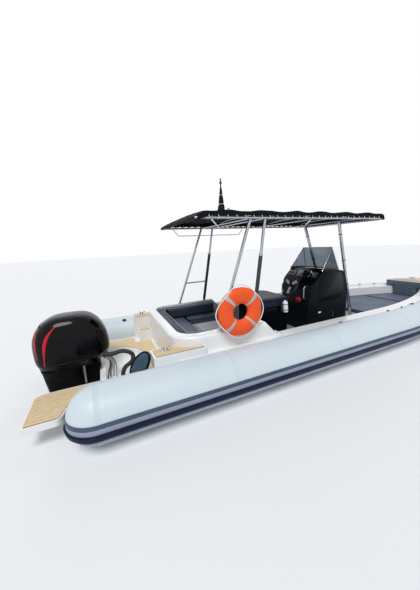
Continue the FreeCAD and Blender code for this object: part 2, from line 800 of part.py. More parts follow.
def build_sundeck(tube, deck):
    """Return the sun deck's base, its pads, the bow step, its tread and the backrest."""
    inset = liner_inside_y - tube_y
    base = plan_outline(inset - 1, sundeck_aft_x, floor_z, sundeck_base_z)
    base = base.cut(box(bow_step_x, 9000, -2000, 2000, 0, 2000)).cut(deck)
    low = sundeck_base_z + soft_gap
    pads = plan_outline(inset - 30, sundeck_aft_x + 10, low, low + sunpad_thickness)
    split_x = sunpad_split_x
    back_x = bow_step_x - bow_back_thickness
    aft_pad = pads.common(box(0, split_x - 2, -2000, 2000, 0, 2000))
    fore_pad = pads.common(box(split_x + 2, back_x - 4, -2000, 2000, 0, 2000))
    step = plan_outline(-210, bow_step_x, floor_z, bow_step_z)
    step = step.cut(tube).cut(deck)
    tread = plan_outline(-240, bow_step_x + 30, bow_step_z, bow_step_z + pad_thickness)
    tread = tread.cut(tube)
    reach = bow_step_x - straight_end_x
    shift = tube_y - bow_side_radius
    liner_y = math.sqrt((bow_side_radius + inset) ** 2 - reach ** 2) + shift
    tube_side = math.sqrt(tube_radius ** 2 - (gunwale_z - tube_z) ** 2)
    tube_side_y = math.sqrt((bow_side_radius - tube_side) ** 2 - reach ** 2) + shift
    levels = ((liner_y - backrest_gap, low, gunwale_z + soft_gap),
              (tube_side_y - backrest_gap, gunwale_z + soft_gap, bow_step_z - 10))
    back = joined([box(back_x, bow_step_x - soft_gap, -half, half, bottom, top)
                   for half, bottom, top in levels])
    return base, Part.makeCompound([aft_pad, fore_pad]), step, tread, back


def build_pads(tube):
    """Return the foam decking: platform pads, aft deck pads, treads and cockpit floor."""
    pads = []
    for side in (-1, 1):
        m = pad_margin
        corners = [(-m, side * (platform_inner_y + m), 8),
                   (platform_aft_x + m, side * (platform_inner_y + m), platform_chamfer - 10),
                   (platform_aft_x + m, side * (platform_outer_y - m), 8),
                   (-345, side * (platform_outer_y - m), platform_corner - 20),
                   (-310, side * (platform_outer_y - 185), 30),
                   (-m, side * (tube_y - tube_radius - 4 - m), 8)]
        pads.append(slab(corners, aft_deck_z, aft_deck_z + pad_thickness))
    deck_pad = slab(((40, -790, 20), (770, -790, 20), (770, 790, 20), (40, 790, 20)),
                    aft_deck_z, aft_deck_z + pad_thickness)
    deck_pad = deck_pad.cut(Part.makeCylinder(well_radius + 30, 900, Vector(65, 0, 0)))
    deck_pad = deck_pad.cut(box(0, 80, -560, 560, 0, 900))
    treads = []
    for side in (-1, 1):
        low, high = sorted((side * (step_inner_y - 3), side * 1100))
        deck_pad = deck_pad.cut(box(ledge_start_x - 25, 900, low, high, 0, 900))
        low, high = sorted((side * (step_inner_y + 20), side * (ledge_inner_y - 12)))
        treads.append(box(step_start_x + 20, 780, low, high, step_z, step_z + pad_thickness))
        low, high = sorted((side * (ledge_inner_y + 22), side * (ledge_outer_y - 22)))
        ledge_pad = slab(((ledge_start_x + 22, low, 14), (ledge_end_x - 22, low, 14),
                          (ledge_end_x - 22, high, 14), (ledge_start_x + 22, high, 14)),
                         ledge_z, ledge_z + pad_thickness)
        treads.append(ledge_pad.cut(slab(seat_outline(-20, seat_front_x), 0, 2000)))
    return pads, [deck_pad.cut(tube)], treads


def build_clamp():
    """Return the clamp bracket that is bolted to the transom, with its tilt tube."""
    plates = []
    for side in (-1, 1):
        low, high = sorted((side * 150, side * 182))
        plates.append(side_plate(((0, -90, 20), (0, tilt_z - 60, 12),
                                  (tilt_x + 33, tilt_z - 12, 14), (tilt_x + 24, tilt_z + 26, 16),
                                  (tilt_x - 24, tilt_z + 26, 24), (tilt_x - 60, 150, 30),
                                  (-62, -40, 20)), low, high))
    spacer = rod(Vector(tilt_x, -182, tilt_z), Vector(tilt_x, 182, tilt_z), 16)
    low_bar = rod(Vector(-36, -182, -30), Vector(-36, 182, -30), 13)
    return joined(plates + [spacer, low_bar])


def build_swivel():
    """Return the swivel bracket that tilts in the clamp and carries the kingpin."""
    boss = rod(Vector(tilt_x, -142, tilt_z), Vector(tilt_x, 142, tilt_z), 29)
    housing = rod(Vector(kingpin_x, 0, 30), Vector(kingpin_x, 0, tilt_z - 2), 44)
    web = side_plate(((tilt_x, tilt_z + 26, 0), (tilt_x, tilt_z - 26, 0),
                      (kingpin_x + 46, 60, 20), (kingpin_x, 60, 0),
                      (kingpin_x, tilt_z - 4, 0), (kingpin_x + 50, tilt_z - 4, 0)), -70, 70)
    body = joined([boss, housing, web])
    body = body.cut(rod(Vector(tilt_x, -200, tilt_z), Vector(tilt_x, 200, tilt_z),
                        16 + running_gap))
    return body.cut(rod(Vector(kingpin_x, 0, 0), Vector(kingpin_x, 0, 500), 20 + running_gap))


def stacked(rows):
    """Return a ruled body through plan sections: z, aft x, front x, half breadth, two radii."""
    wires = []
    for z, aft, front, half, aft_round, front_round in rows:
        wires.append(rounded_wire(((aft, -half, aft_round), (front, -half, front_round),
                                   (front, half, front_round), (aft, half, aft_round)),
                                  in_plan(z)))
    return Part.makeLoft(wires, True, True)


# Cowl sections: z, aft x, front x, half breadth, aft corner radius, front corner radius
cowl_rows = (
    (cowl_base_z + 30, -662, 30, 262, 150, 120),
    (510, -674, 148, 282, 165, 150),
    (690, -672, 140, 284, 170, 160),
    (810, -642, 106, 272, 165, 160),
    (900, -585, 52, 246, 155, 150),
    (965, -500, -20, 200, 130, 130),
    (cowl_top_z, -400, -105, 130, 90, 90),
)
pan_rows = (
    (cowl_base_z, -640, 8, 236, 140, 110),
    (cowl_base_z + 30, -660, 29, 260, 150, 120),
)
leg_rows = (
    (plate_z + 14, -470, -215, 58, 45, 45),
    (-150, -520, -212, 84, 60, 60),
    (60, -592, -208, 132, 90, 80),
    (cowl_base_z, -632, -205, 176, 110, 90),
)
strut_rows = (
    (shaft_z, -500, -225, 26, 24, 24),
    (plate_z, -500, -215, 44, 40, 40),
)


def build_engine():
    """Return the outboard's cowl, pan, leg, gearcase and kingpin."""
    cowl = stacked(cowl_rows)
    wall = 6
    hollow_rows = [(z - wall if z > 900 else z, aft + wall, front - wall, half - wall,
                    aft_round - wall, front_round - wall)
                   for z, aft, front, half, aft_round, front_round in cowl_rows]
    cowl = cowl.cut(stacked(hollow_rows))
    powerhead = slab(((-560, -170, 40), (-30, -170, 40), (-30, 170, 40), (-560, 170, 40)),
                     cowl_base_z + 30, 800)
    pan = stacked(pan_rows)
    leg = stacked(leg_rows)
    upper = slab(((-260, -80, 0), (kingpin_x + 40, -60, 40), (kingpin_x + 40, 60, 40),
                  (-260, 80, 0)), tilt_z + 2, cowl_base_z)
    lower = slab(((-260, -62, 0), (kingpin_x + 42, -50, 40), (kingpin_x + 42, 50, 40),
                  (-260, 62, 0)), -14, 26)
    kingpin = rod(Vector(kingpin_x, 0, -14), Vector(kingpin_x, 0, tilt_z + 20), 20)
    leg = joined([leg, upper, lower, kingpin])
    plate = slab(((-640, -118, 60), (-180, -70, 60), (-180, 70, 60), (-640, 118, 60)),
                 plate_z, plate_z + 14)
    strut = stacked(strut_rows)
    torpedo = rod(Vector(-606, 0, shaft_z), Vector(-300, 0, shaft_z), 60)
    nose = Part.makeCone(60, 16, 130, Vector(-300, 0, shaft_z), AHEAD)
    skeg = side_plate(((-500, shaft_z - 40, 0), (-330, shaft_z - 40, 0), (-380, skeg_z, 12),
                       (-480, skeg_z, 12)), -9, 9)
    stub = rod(Vector(-606, 0, shaft_z), Vector(-735, 0, shaft_z), 15)
    nut = rod(Vector(-718, 0, shaft_z), Vector(-740, 0, shaft_z), 24)
    gearcase = joined([plate, strut, torpedo, nose, skeg, stub, nut])
    return cowl, pan, leg, gearcase, powerhead


# Propeller blade sections: radius, chord, thickness, pitch angle in degrees
blade_rows = (
    (44.0, 92.0, 11.0, 56.0),
    (100.0, 128.0, 8.0, 37.0),
    (150.0, 122.0, 5.0, 27.0),
    (182.0, 64.0, 3.0, 22.5),
)


def build_propeller():
    """Return the three-bladed propeller on its hub."""
    hub = rod(Vector(-716, 0, shaft_z), Vector(-608, 0, shaft_z), hub_radius)
    sections = []
    for reach, chord, thick, pitch in blade_rows:
        angle = math.radians(pitch)
        along_chord = Vector(math.cos(angle), math.sin(angle), 0)
        across = Vector(-math.sin(angle), math.cos(angle), 0)
        middle = Vector(-662, 0, shaft_z + reach)
        corners = [middle - along_chord * (chord / 2), middle - across * (thick / 2),
                   middle + along_chord * (chord / 2), middle + across * (thick / 2)]
        sections.append(Part.makePolygon(corners + corners[:1]))
    blade = Part.makeLoft(sections, True, True)
    centre = Vector(0, 0, shaft_z)
    blades = [blade.rotated(centre, AHEAD, turn) for turn in (0, 120, 240)]
    bore = rod(Vector(-760, 0, shaft_z), Vector(-600, 0, shaft_z), 15 + running_gap)
    return joined([hub] + blades).cut(bore)


def build_hose():
    """Return the rigging hose from the cowl's corner to its gland in the well."""
    start, outward = hose_port
    start = Vector(*start)
    outward = Vector(*outward)
    first = start + outward * (grommet_reach + soft_gap)
    second = first + outward * 78
    route = (tuple(first), tuple(second), (275, -385, 556), (396, -410, 500),
             (385, -412, 395), (250, -392, 322), (250, -392, well_floor_z + soft_gap))
    return bent_tube(route, 50, hose_radius)


def build_grommet():
    """Return the rubber grommet where the rigging hose enters the cowl."""
    start, outward = hose_port
    start = Vector(*start)
    outward = Vector(*outward)
    grommet = rod(start - outward * 60, start + outward * grommet_reach, hose_radius + 9)
    return grommet.cut(stacked(cowl_rows)).cut(stacked(pan_rows))


def build_fittings(deck, tube):
    """Return the cleats, the collar's rope lugs and the extinguisher."""
    cleats = []
    for side in (-1, 1):
        y = side * 835
        foot = rod(Vector(700, y, ledge_z + pad_thickness), Vector(700, y, ledge_z + 45), 15)
        horn = rod(Vector(630, y, ledge_z + 46), Vector(770, y, ledge_z + 46), 11)
        cleats.append(joined([foot, horn]))
    x = bow_step_x + 170
    base = bow_step_z + pad_thickness
    cleats.append(joined([rod(Vector(x, 0, base), Vector(x, 0, base + 38), 15),
                          rod(Vector(x, -75, base + 39), Vector(x, 75, base + 39), 11)]))
    handles = []
    for x in lug_places:
        y = centreline_offset(x) - 60
        top = tube_z + math.sqrt(tube_radius ** 2 - 60 ** 2)
        for side in (-1, 1):
            handles.append(box(x - 30, x + 30, side * y - 16, side * y + 16, top - 8, top + 24))
    handles = [handle.cut(tube) for handle in handles]
    y = -post_half_width - bottle_radius - 6
    bottle = joined([rod(Vector(bottle_x, y, bottle_z),
                         Vector(bottle_x, y, bottle_z + bottle_height), bottle_radius),
                     box(bottle_x - 30, bottle_x + 30, y, 20 - post_half_width,
                         bottle_z + 5, post_body_z - 15)])
    return cleats, handles, bottle


def dash_point(along_slope, out):
    """Return the x and z of a point on the dash's upper slope, and out from its surface."""
    start = (console_aft_x + dash_low[0], dash_low[1])
    end = (console_aft_x + dash_high_reach, console_top_z)
    length = math.hypot(end[0] - start[0], end[1] - start[1])
    ux, uz = (end[0] - start[0]) / length, (end[1] - start[1]) / length
    return start[0] + ux * along_slope - uz * out, start[1] + uz * along_slope + ux * out


def dash_block(start, end, out, y_low, y_high, radius):
    """Return a block that stands out from the dash's upper slope."""
    corners = [dash_point(start, -6) + (0,), dash_point(end, -6) + (0,),
               dash_point(end, out) + (radius,), dash_point(start, out) + (radius,)]
    return side_plate(corners, y_low, y_high)


def build_helm_fittings(console):
    """Return the instruments on the dash, the throttle and the console's grab rails."""
    screen = dash_block(120, 285, 16, -120, 130, 6)
    dials = []
    for y in (205, 305):
        low_x, low_z = dash_point(200, -6)
        high_x, high_z = dash_point(200, 12)
        dials.append(rod(Vector(low_x, y, low_z), Vector(high_x, y, high_z), 40))
    panels = [shape.cut(console) for shape in [screen] + dials]
    x, z = dash_point(190, 30)
    tip_x, tip_z = dash_point(150, 165)
    housing = dash_block(135, 245, 48, -325, -262, 14)
    lever = rod(Vector(x, -293, z), Vector(tip_x, -293, tip_z), 8)
    grip = rod(Vector(tip_x, -330, tip_z), Vector(tip_x, -256, tip_z), 15)
    throttle = joined([housing, lever, grip]).cut(console)
    rails = []
    low, high = grab_rail_z
    deep = console_aft_x + dash_low[0] + 10
    out = console_aft_x - grab_rail_reach
    for side in (-1, 1):
        y = side * (console_aft_half_width - 30)
        rails.append(bent_tube(((deep, y, low), (out, y, low), (out, y, high),
                                (deep, y, high)), 34, 10).cut(console))
    return panels, throttle, rails


def build_oval_pad():
    """Return the oval bolster pad that stands on the starboard aft deck."""
    ellipse = Part.Wire([Part.Ellipse(Vector(0, 0, 0), oval_half_height,
                                      oval_half_width).toShape()])
    pad = Part.Face(ellipse).extrude(Vector(0, 0, oval_thickness))
    normal = Vector(-0.35, -0.88, 0.32).normalize()
    upward = (UP + AHEAD * 0.35).normalize()
    turn = FreeCAD.Rotation(upward, Vector(), normal, "ZXY")
    pad.Placement = FreeCAD.Placement(Vector(*oval_centre), turn)
    low = pad.optimalBoundingBox().ZMin
    return pad.translated(UP * (aft_deck_z + pad_thickness + soft_gap - low))


def build_bow_eye(hull):
    """Return the towing eye on the stem."""
    x, z = bow_eye
    lug = joined([rod(Vector(x, -8, z), Vector(x, 8, z), 24),
                  side_plate(((x - 44, z + 28, 0), (x + 21, z + 48, 0),
                              (x + 23, z + 7, 0), (x - 23, z - 7, 0)), -8, 8)])
    return lug.cut(rod(Vector(x, -20, z), Vector(x, 20, z), bow_eye_radius)).cut(hull)


def main():
    """Build every piece and write each one to its own file."""
    tube = build_tube()
    deck = build_deck(tube)
    PARTS["tube_collar"] = tube
    PARTS["hull"] = build_hull(tube)
    PARTS["deck"] = deck
    PARTS["swim_platforms"] = Part.makeCompound([shape.cut(tube) for shape in build_platforms()])
    PARTS["grey_band"] = band(grey_band_angles, tube_radius, tube_radius + band_thickness)
    PARTS["navy_strake"] = band(strake_angles, tube_radius + band_thickness,
                                tube_radius + strake_depth)
    seat = build_seat(tube, deck)
    PARTS["seat_moulding"] = seat
    PARTS["seat_cushions"], PARTS["back_cushions"] = build_seat_cushions()
    PARTS["leaning_post"], PARTS["post_cushion"] = build_leaning_post()
    console, PARTS["console_door"], PARTS["door_hinge"] = build_console()
    glass, frame = build_screen(console)
    wheel, shaft = build_wheel(console)
    PARTS["console"] = console
    PARTS["windscreen"] = glass
    PARTS["screen_frame"] = frame
    PARTS["helm_wheel"] = wheel
    PARTS["wheel_shaft"] = shaft
    aft_posts, front_posts, roof, hanger = build_canopy_frame()
    PARTS["aft_posts"] = aft_posts.cut(seat)
    PARTS["front_posts"] = joined(front_posts).cut(roof).cut(deck)
    PARTS["roof_frame"] = roof
    PARTS["hanging_rail"] = hanger.cut(roof)
    PARTS["canopy"] = build_canopy()
    PARTS["light_staff"], PARTS["furled_flag"], PARTS["anchor_light"], PARTS["roof_fittings"] = (
        build_masthead())
    PARTS["lifebuoy"], PARTS["lifebuoy_rope"] = build_lifebuoy()
    base, pads, step, tread, back = build_sundeck(tube, deck)
    PARTS["sundeck_base"] = base
    PARTS["sun_pads"] = pads
    PARTS["bow_step"] = step
    PARTS["bow_tread"] = tread
    PARTS["bow_backrest"] = back
    platform_pads, deck_pads, treads = build_pads(tube)
    PARTS["platform_pads"] = Part.makeCompound([pad.cut(tube) for pad in platform_pads])
    PARTS["deck_pad"] = Part.makeCompound([pad.cut(seat) for pad in deck_pads])
    PARTS["step_treads"] = Part.makeCompound([tread.cut(seat) for tread in treads])
    PARTS["clamp_bracket"] = build_clamp()
    PARTS["swivel_bracket"] = build_swivel()
    cowl, pan, leg, gearcase, PARTS["powerhead"] = build_engine()
    PARTS["cowl"] = cowl
    PARTS["cowl_pan"] = pan
    PARTS["engine_leg"] = leg
    PARTS["gearcase"] = gearcase
    PARTS["propeller"] = build_propeller()
    PARTS["rigging_hose"] = build_hose()
    PARTS["hose_grommet"] = build_grommet()
    cleats, handles, bottle = build_fittings(deck, tube)
    PARTS["cleats"] = Part.makeCompound(cleats)
    PARTS["tube_handles"] = Part.makeCompound(handles)
    PARTS["extinguisher"] = bottle
    PARTS["bow_eye"] = build_bow_eye(PARTS["hull"])
    panels, PARTS["throttle"], rails = build_helm_fittings(console)
    PARTS["instruments"] = Part.makeCompound(panels)
    PARTS["grab_rails"] = Part.makeCompound(rails)
    PARTS["oval_pad"] = build_oval_pad()
    skin = tube_radius + band_thickness
    PARTS["trim_lines"] = Part.makeCompound([
        band(upper_line_angles, tube_radius, tube_radius + line_depth),
        band(thin_line_angles, skin, skin + line_depth)])
    os.makedirs("parts", exist_ok=True)
    for name, shape in PARTS.items():
        print(name, shape.isValid(), len(shape.Solids), round(shape.Volume / 1e9, 5))
        shape.exportStep("parts/" + name + ".step")


main()
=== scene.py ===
"""Looks of a rigid inflatable boat with an outboard engine, a console and a sun canopy.

Units are metres. The origin lies on the centreline, at the foot of the transom's aft
face, on the waterline. +X points to the bow, +Y to port, +Z up.
"""

import json
import logging
import math
from collections.abc import Callable, Iterable, Sequence
from dataclasses import dataclass, field, replace
from enum import Enum

import bmesh
import bpy
from mathutils import Matrix, Vector, noise
from mathutils.bvhtree import BVHTree
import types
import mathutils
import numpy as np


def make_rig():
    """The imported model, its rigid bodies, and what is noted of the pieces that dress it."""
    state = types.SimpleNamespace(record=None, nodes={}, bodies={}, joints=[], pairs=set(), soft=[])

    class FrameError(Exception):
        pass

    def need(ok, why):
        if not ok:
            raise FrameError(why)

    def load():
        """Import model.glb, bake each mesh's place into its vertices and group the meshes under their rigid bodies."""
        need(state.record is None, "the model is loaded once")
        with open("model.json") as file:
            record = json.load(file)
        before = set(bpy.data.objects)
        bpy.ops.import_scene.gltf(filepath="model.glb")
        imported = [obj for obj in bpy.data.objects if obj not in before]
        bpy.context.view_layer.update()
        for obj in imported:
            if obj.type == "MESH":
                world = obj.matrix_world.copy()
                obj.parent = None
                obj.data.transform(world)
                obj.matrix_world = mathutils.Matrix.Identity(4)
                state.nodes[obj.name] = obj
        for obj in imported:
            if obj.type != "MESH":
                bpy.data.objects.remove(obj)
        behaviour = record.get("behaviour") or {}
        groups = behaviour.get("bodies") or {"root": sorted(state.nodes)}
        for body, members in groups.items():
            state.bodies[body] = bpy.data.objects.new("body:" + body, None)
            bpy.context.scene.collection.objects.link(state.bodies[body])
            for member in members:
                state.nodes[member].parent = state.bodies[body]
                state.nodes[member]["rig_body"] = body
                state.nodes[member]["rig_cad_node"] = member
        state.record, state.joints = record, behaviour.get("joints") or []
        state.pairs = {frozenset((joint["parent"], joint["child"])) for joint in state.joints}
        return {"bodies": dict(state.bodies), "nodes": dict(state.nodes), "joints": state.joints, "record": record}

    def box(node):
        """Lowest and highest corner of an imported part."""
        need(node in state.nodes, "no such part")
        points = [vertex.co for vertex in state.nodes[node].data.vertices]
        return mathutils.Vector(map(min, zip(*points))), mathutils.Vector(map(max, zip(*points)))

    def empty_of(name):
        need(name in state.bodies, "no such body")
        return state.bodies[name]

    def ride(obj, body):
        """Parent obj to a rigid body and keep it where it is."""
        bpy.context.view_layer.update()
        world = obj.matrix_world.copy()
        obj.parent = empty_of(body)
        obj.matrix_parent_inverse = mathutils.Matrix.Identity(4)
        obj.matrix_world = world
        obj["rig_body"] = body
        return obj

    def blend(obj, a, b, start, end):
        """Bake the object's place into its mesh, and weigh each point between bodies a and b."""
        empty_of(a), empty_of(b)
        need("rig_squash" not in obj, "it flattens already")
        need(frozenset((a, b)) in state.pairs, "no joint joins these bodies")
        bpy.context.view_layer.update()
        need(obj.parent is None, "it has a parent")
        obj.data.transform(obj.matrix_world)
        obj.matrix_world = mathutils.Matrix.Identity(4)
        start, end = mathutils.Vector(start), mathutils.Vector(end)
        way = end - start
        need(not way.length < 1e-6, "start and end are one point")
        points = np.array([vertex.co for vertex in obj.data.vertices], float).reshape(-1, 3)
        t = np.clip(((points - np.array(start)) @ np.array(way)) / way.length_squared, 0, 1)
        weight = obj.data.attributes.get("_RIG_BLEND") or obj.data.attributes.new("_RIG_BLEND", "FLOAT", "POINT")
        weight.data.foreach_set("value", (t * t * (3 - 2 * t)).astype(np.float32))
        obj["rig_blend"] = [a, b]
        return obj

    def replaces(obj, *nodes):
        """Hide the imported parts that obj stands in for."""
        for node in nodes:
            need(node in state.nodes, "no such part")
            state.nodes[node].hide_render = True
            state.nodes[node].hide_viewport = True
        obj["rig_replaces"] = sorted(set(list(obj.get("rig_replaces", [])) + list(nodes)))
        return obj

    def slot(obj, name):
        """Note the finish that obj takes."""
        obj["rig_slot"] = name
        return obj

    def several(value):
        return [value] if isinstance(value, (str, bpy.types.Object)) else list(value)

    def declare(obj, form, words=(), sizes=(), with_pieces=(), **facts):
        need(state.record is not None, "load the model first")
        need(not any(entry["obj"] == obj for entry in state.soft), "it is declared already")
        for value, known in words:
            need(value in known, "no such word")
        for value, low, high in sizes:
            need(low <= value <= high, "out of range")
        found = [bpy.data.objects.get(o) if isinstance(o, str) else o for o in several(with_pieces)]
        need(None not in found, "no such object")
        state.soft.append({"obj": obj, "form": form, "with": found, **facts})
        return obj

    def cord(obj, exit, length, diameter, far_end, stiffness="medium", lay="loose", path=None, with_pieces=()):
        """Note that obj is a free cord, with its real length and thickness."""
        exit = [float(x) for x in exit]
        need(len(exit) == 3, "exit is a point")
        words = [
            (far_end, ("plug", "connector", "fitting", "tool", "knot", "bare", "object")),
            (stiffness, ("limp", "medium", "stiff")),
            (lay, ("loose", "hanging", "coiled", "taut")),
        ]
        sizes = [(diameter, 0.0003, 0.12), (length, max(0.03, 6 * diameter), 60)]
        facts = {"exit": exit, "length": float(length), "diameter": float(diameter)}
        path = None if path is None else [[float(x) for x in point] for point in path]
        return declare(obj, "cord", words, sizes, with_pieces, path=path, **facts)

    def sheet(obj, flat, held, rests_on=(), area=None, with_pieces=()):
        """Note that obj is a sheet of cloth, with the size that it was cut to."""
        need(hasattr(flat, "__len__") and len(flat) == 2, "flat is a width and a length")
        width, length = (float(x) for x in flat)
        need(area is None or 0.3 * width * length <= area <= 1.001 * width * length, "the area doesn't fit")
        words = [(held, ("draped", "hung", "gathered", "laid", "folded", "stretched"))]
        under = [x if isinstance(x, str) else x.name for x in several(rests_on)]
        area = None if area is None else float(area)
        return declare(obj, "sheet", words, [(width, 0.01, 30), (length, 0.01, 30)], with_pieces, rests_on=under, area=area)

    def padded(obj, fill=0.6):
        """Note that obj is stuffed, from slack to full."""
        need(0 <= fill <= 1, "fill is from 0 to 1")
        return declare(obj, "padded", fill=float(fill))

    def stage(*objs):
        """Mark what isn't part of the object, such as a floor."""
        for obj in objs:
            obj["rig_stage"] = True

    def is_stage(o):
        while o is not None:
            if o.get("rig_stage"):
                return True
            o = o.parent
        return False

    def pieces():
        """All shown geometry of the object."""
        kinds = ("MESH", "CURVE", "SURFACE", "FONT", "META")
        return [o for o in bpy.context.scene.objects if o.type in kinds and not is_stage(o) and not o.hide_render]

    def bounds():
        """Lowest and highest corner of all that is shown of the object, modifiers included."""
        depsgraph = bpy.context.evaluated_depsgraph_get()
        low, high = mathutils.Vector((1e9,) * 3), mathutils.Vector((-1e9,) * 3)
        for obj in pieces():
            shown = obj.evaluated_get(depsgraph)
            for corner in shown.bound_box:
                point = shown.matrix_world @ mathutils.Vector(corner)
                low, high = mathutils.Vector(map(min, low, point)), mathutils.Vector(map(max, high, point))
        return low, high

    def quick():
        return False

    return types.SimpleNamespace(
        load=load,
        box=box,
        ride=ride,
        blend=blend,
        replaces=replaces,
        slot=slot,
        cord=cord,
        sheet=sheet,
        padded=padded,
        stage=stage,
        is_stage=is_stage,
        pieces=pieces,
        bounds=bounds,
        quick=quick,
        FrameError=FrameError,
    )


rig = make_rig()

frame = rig.load()
CAD_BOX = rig.bounds()
NODES = frame["nodes"]
LOG = logging.getLogger("boat")
UP = Vector((0.0, 0.0, 1.0))
AHEAD = Vector((1.0, 0.0, 0.0))
ABEAM = Vector((0.0, 1.0, 0.0))
SIDES = (-1, 1)
FULL_TURN = 2 * math.pi
Form = bmesh.types.BMesh
Piece = bpy.types.Object
Socket = bpy.types.NodeSocket
Point = Sequence[float]


def linear(code: str) -> tuple[float, float, float, float]:
    """Return a hex colour, written as it should render, in linear values.

    Args:
        code: Six hex digits.

    Returns:
        Red, green, blue and full alpha.
    """
    values = []
    for start in (0, 2, 4):
        share = int(code[start:start + 2], 16) / 255
        values.append(share / 12.92 if share <= 0.04045 else ((share + 0.055) / 1.055) ** 2.4)
    return values[0], values[1], values[2], 1.0


def smooth_step(low: float, high: float, value: float) -> float:
    """Return 0 below low, 1 above high and a smooth rise between them."""
    share = min(1.0, max(0.0, (value - low) / (high - low)))
    return share * share * (3 - 2 * share)


class Wiring:
    """Adds and joins the nodes of one shader tree."""

    def __init__(self, tree: bpy.types.NodeTree) -> None:
        """Keep the tree that the nodes go into."""
        self.tree = tree

    def add(self, kind: str, sockets: dict | None = None, **settings: object) -> bpy.types.Node:
        """Add a node.

        Args:
            kind: The node's class name after ShaderNode.
            sockets: Input values by socket name or number.
            settings: Properties of the node itself.

        Returns:
            The new node.
        """
        node = self.tree.nodes.new("ShaderNode" + kind)
        for key, value in settings.items():
            setattr(node, key, value)
        for key, value in (sockets or {}).items():
            node.inputs[key].default_value = value
        return node

    def join(self, source: Socket, target: Socket) -> None:
        """Link one socket to another."""
        self.tree.links.new(source, target)

    def maths(self, operation: str, first: object, second: object = 0.0) -> Socket:
        """Add a Math node.

        Args:
            operation: What it does.
            first: Its first socket or number.
            second: Its second socket or number.

        Returns:
            The socket of its result.
        """
        node = self.add("Math", operation=operation)
        for index, value in enumerate((first, second)):
            if isinstance(value, Socket):
                self.join(value, node.inputs[index])
            else:
                node.inputs[index].default_value = value
        return node.outputs[0]


class Group(Wiring):
    """A shader node group with named sockets."""

    def __init__(self, name: str, inputs: dict[str, object], outputs: dict[str, str]) -> None:
        """Begin the group.

        Args:
            name: The group's name.
            inputs: Default values by socket name; None marks a vector.
            outputs: Socket types by name.
        """
        super().__init__(bpy.data.node_groups.new(name, "ShaderNodeTree"))
        self.name = name
        for title, default in inputs.items():
            kind = "Color" if isinstance(default, tuple) else "Float"
            socket = self.tree.interface.new_socket(
                title, in_out="INPUT",
                socket_type="NodeSocket" + ("Vector" if default is None else kind))
            if default is not None:
                socket.default_value = default
        for title, kind in outputs.items():
            self.tree.interface.new_socket(title, in_out="OUTPUT",
                                           socket_type="NodeSocket" + kind)
        self.start = self.tree.nodes.new("NodeGroupInput")
        self.end = self.tree.nodes.new("NodeGroupOutput")

    def texture(self, kind: str, sockets: dict | None = None, factor: float = 1.0,
                **settings: object) -> bpy.types.Node:
        """Add a texture at the group's place and size.

        Args:
            kind: The node's class name after ShaderNodeTex.
            sockets: Input values by socket name.
            factor: What the group's size is multiplied by.
            settings: Properties of the node itself.

        Returns:
            The new node.
        """
        node = self.add("Tex" + kind, sockets, **settings)
        self.join(self.start.outputs["Vector"], node.inputs["Vector"])
        self.join(self.maths("MULTIPLY", self.start.outputs["Size"], factor),
                  node.inputs["Scale"])
        return node


class Pattern(Enum):
    """The surface reliefs that a finish may carry."""

    SMOOTH = "orange_peel"
    GRAIN = "fine_grain"
    LEATHER = "pebble_grain"
    WEAVE = "plain_weave"
    FOAM = "foam_cells"
    BRUSHED = "brush_marks"


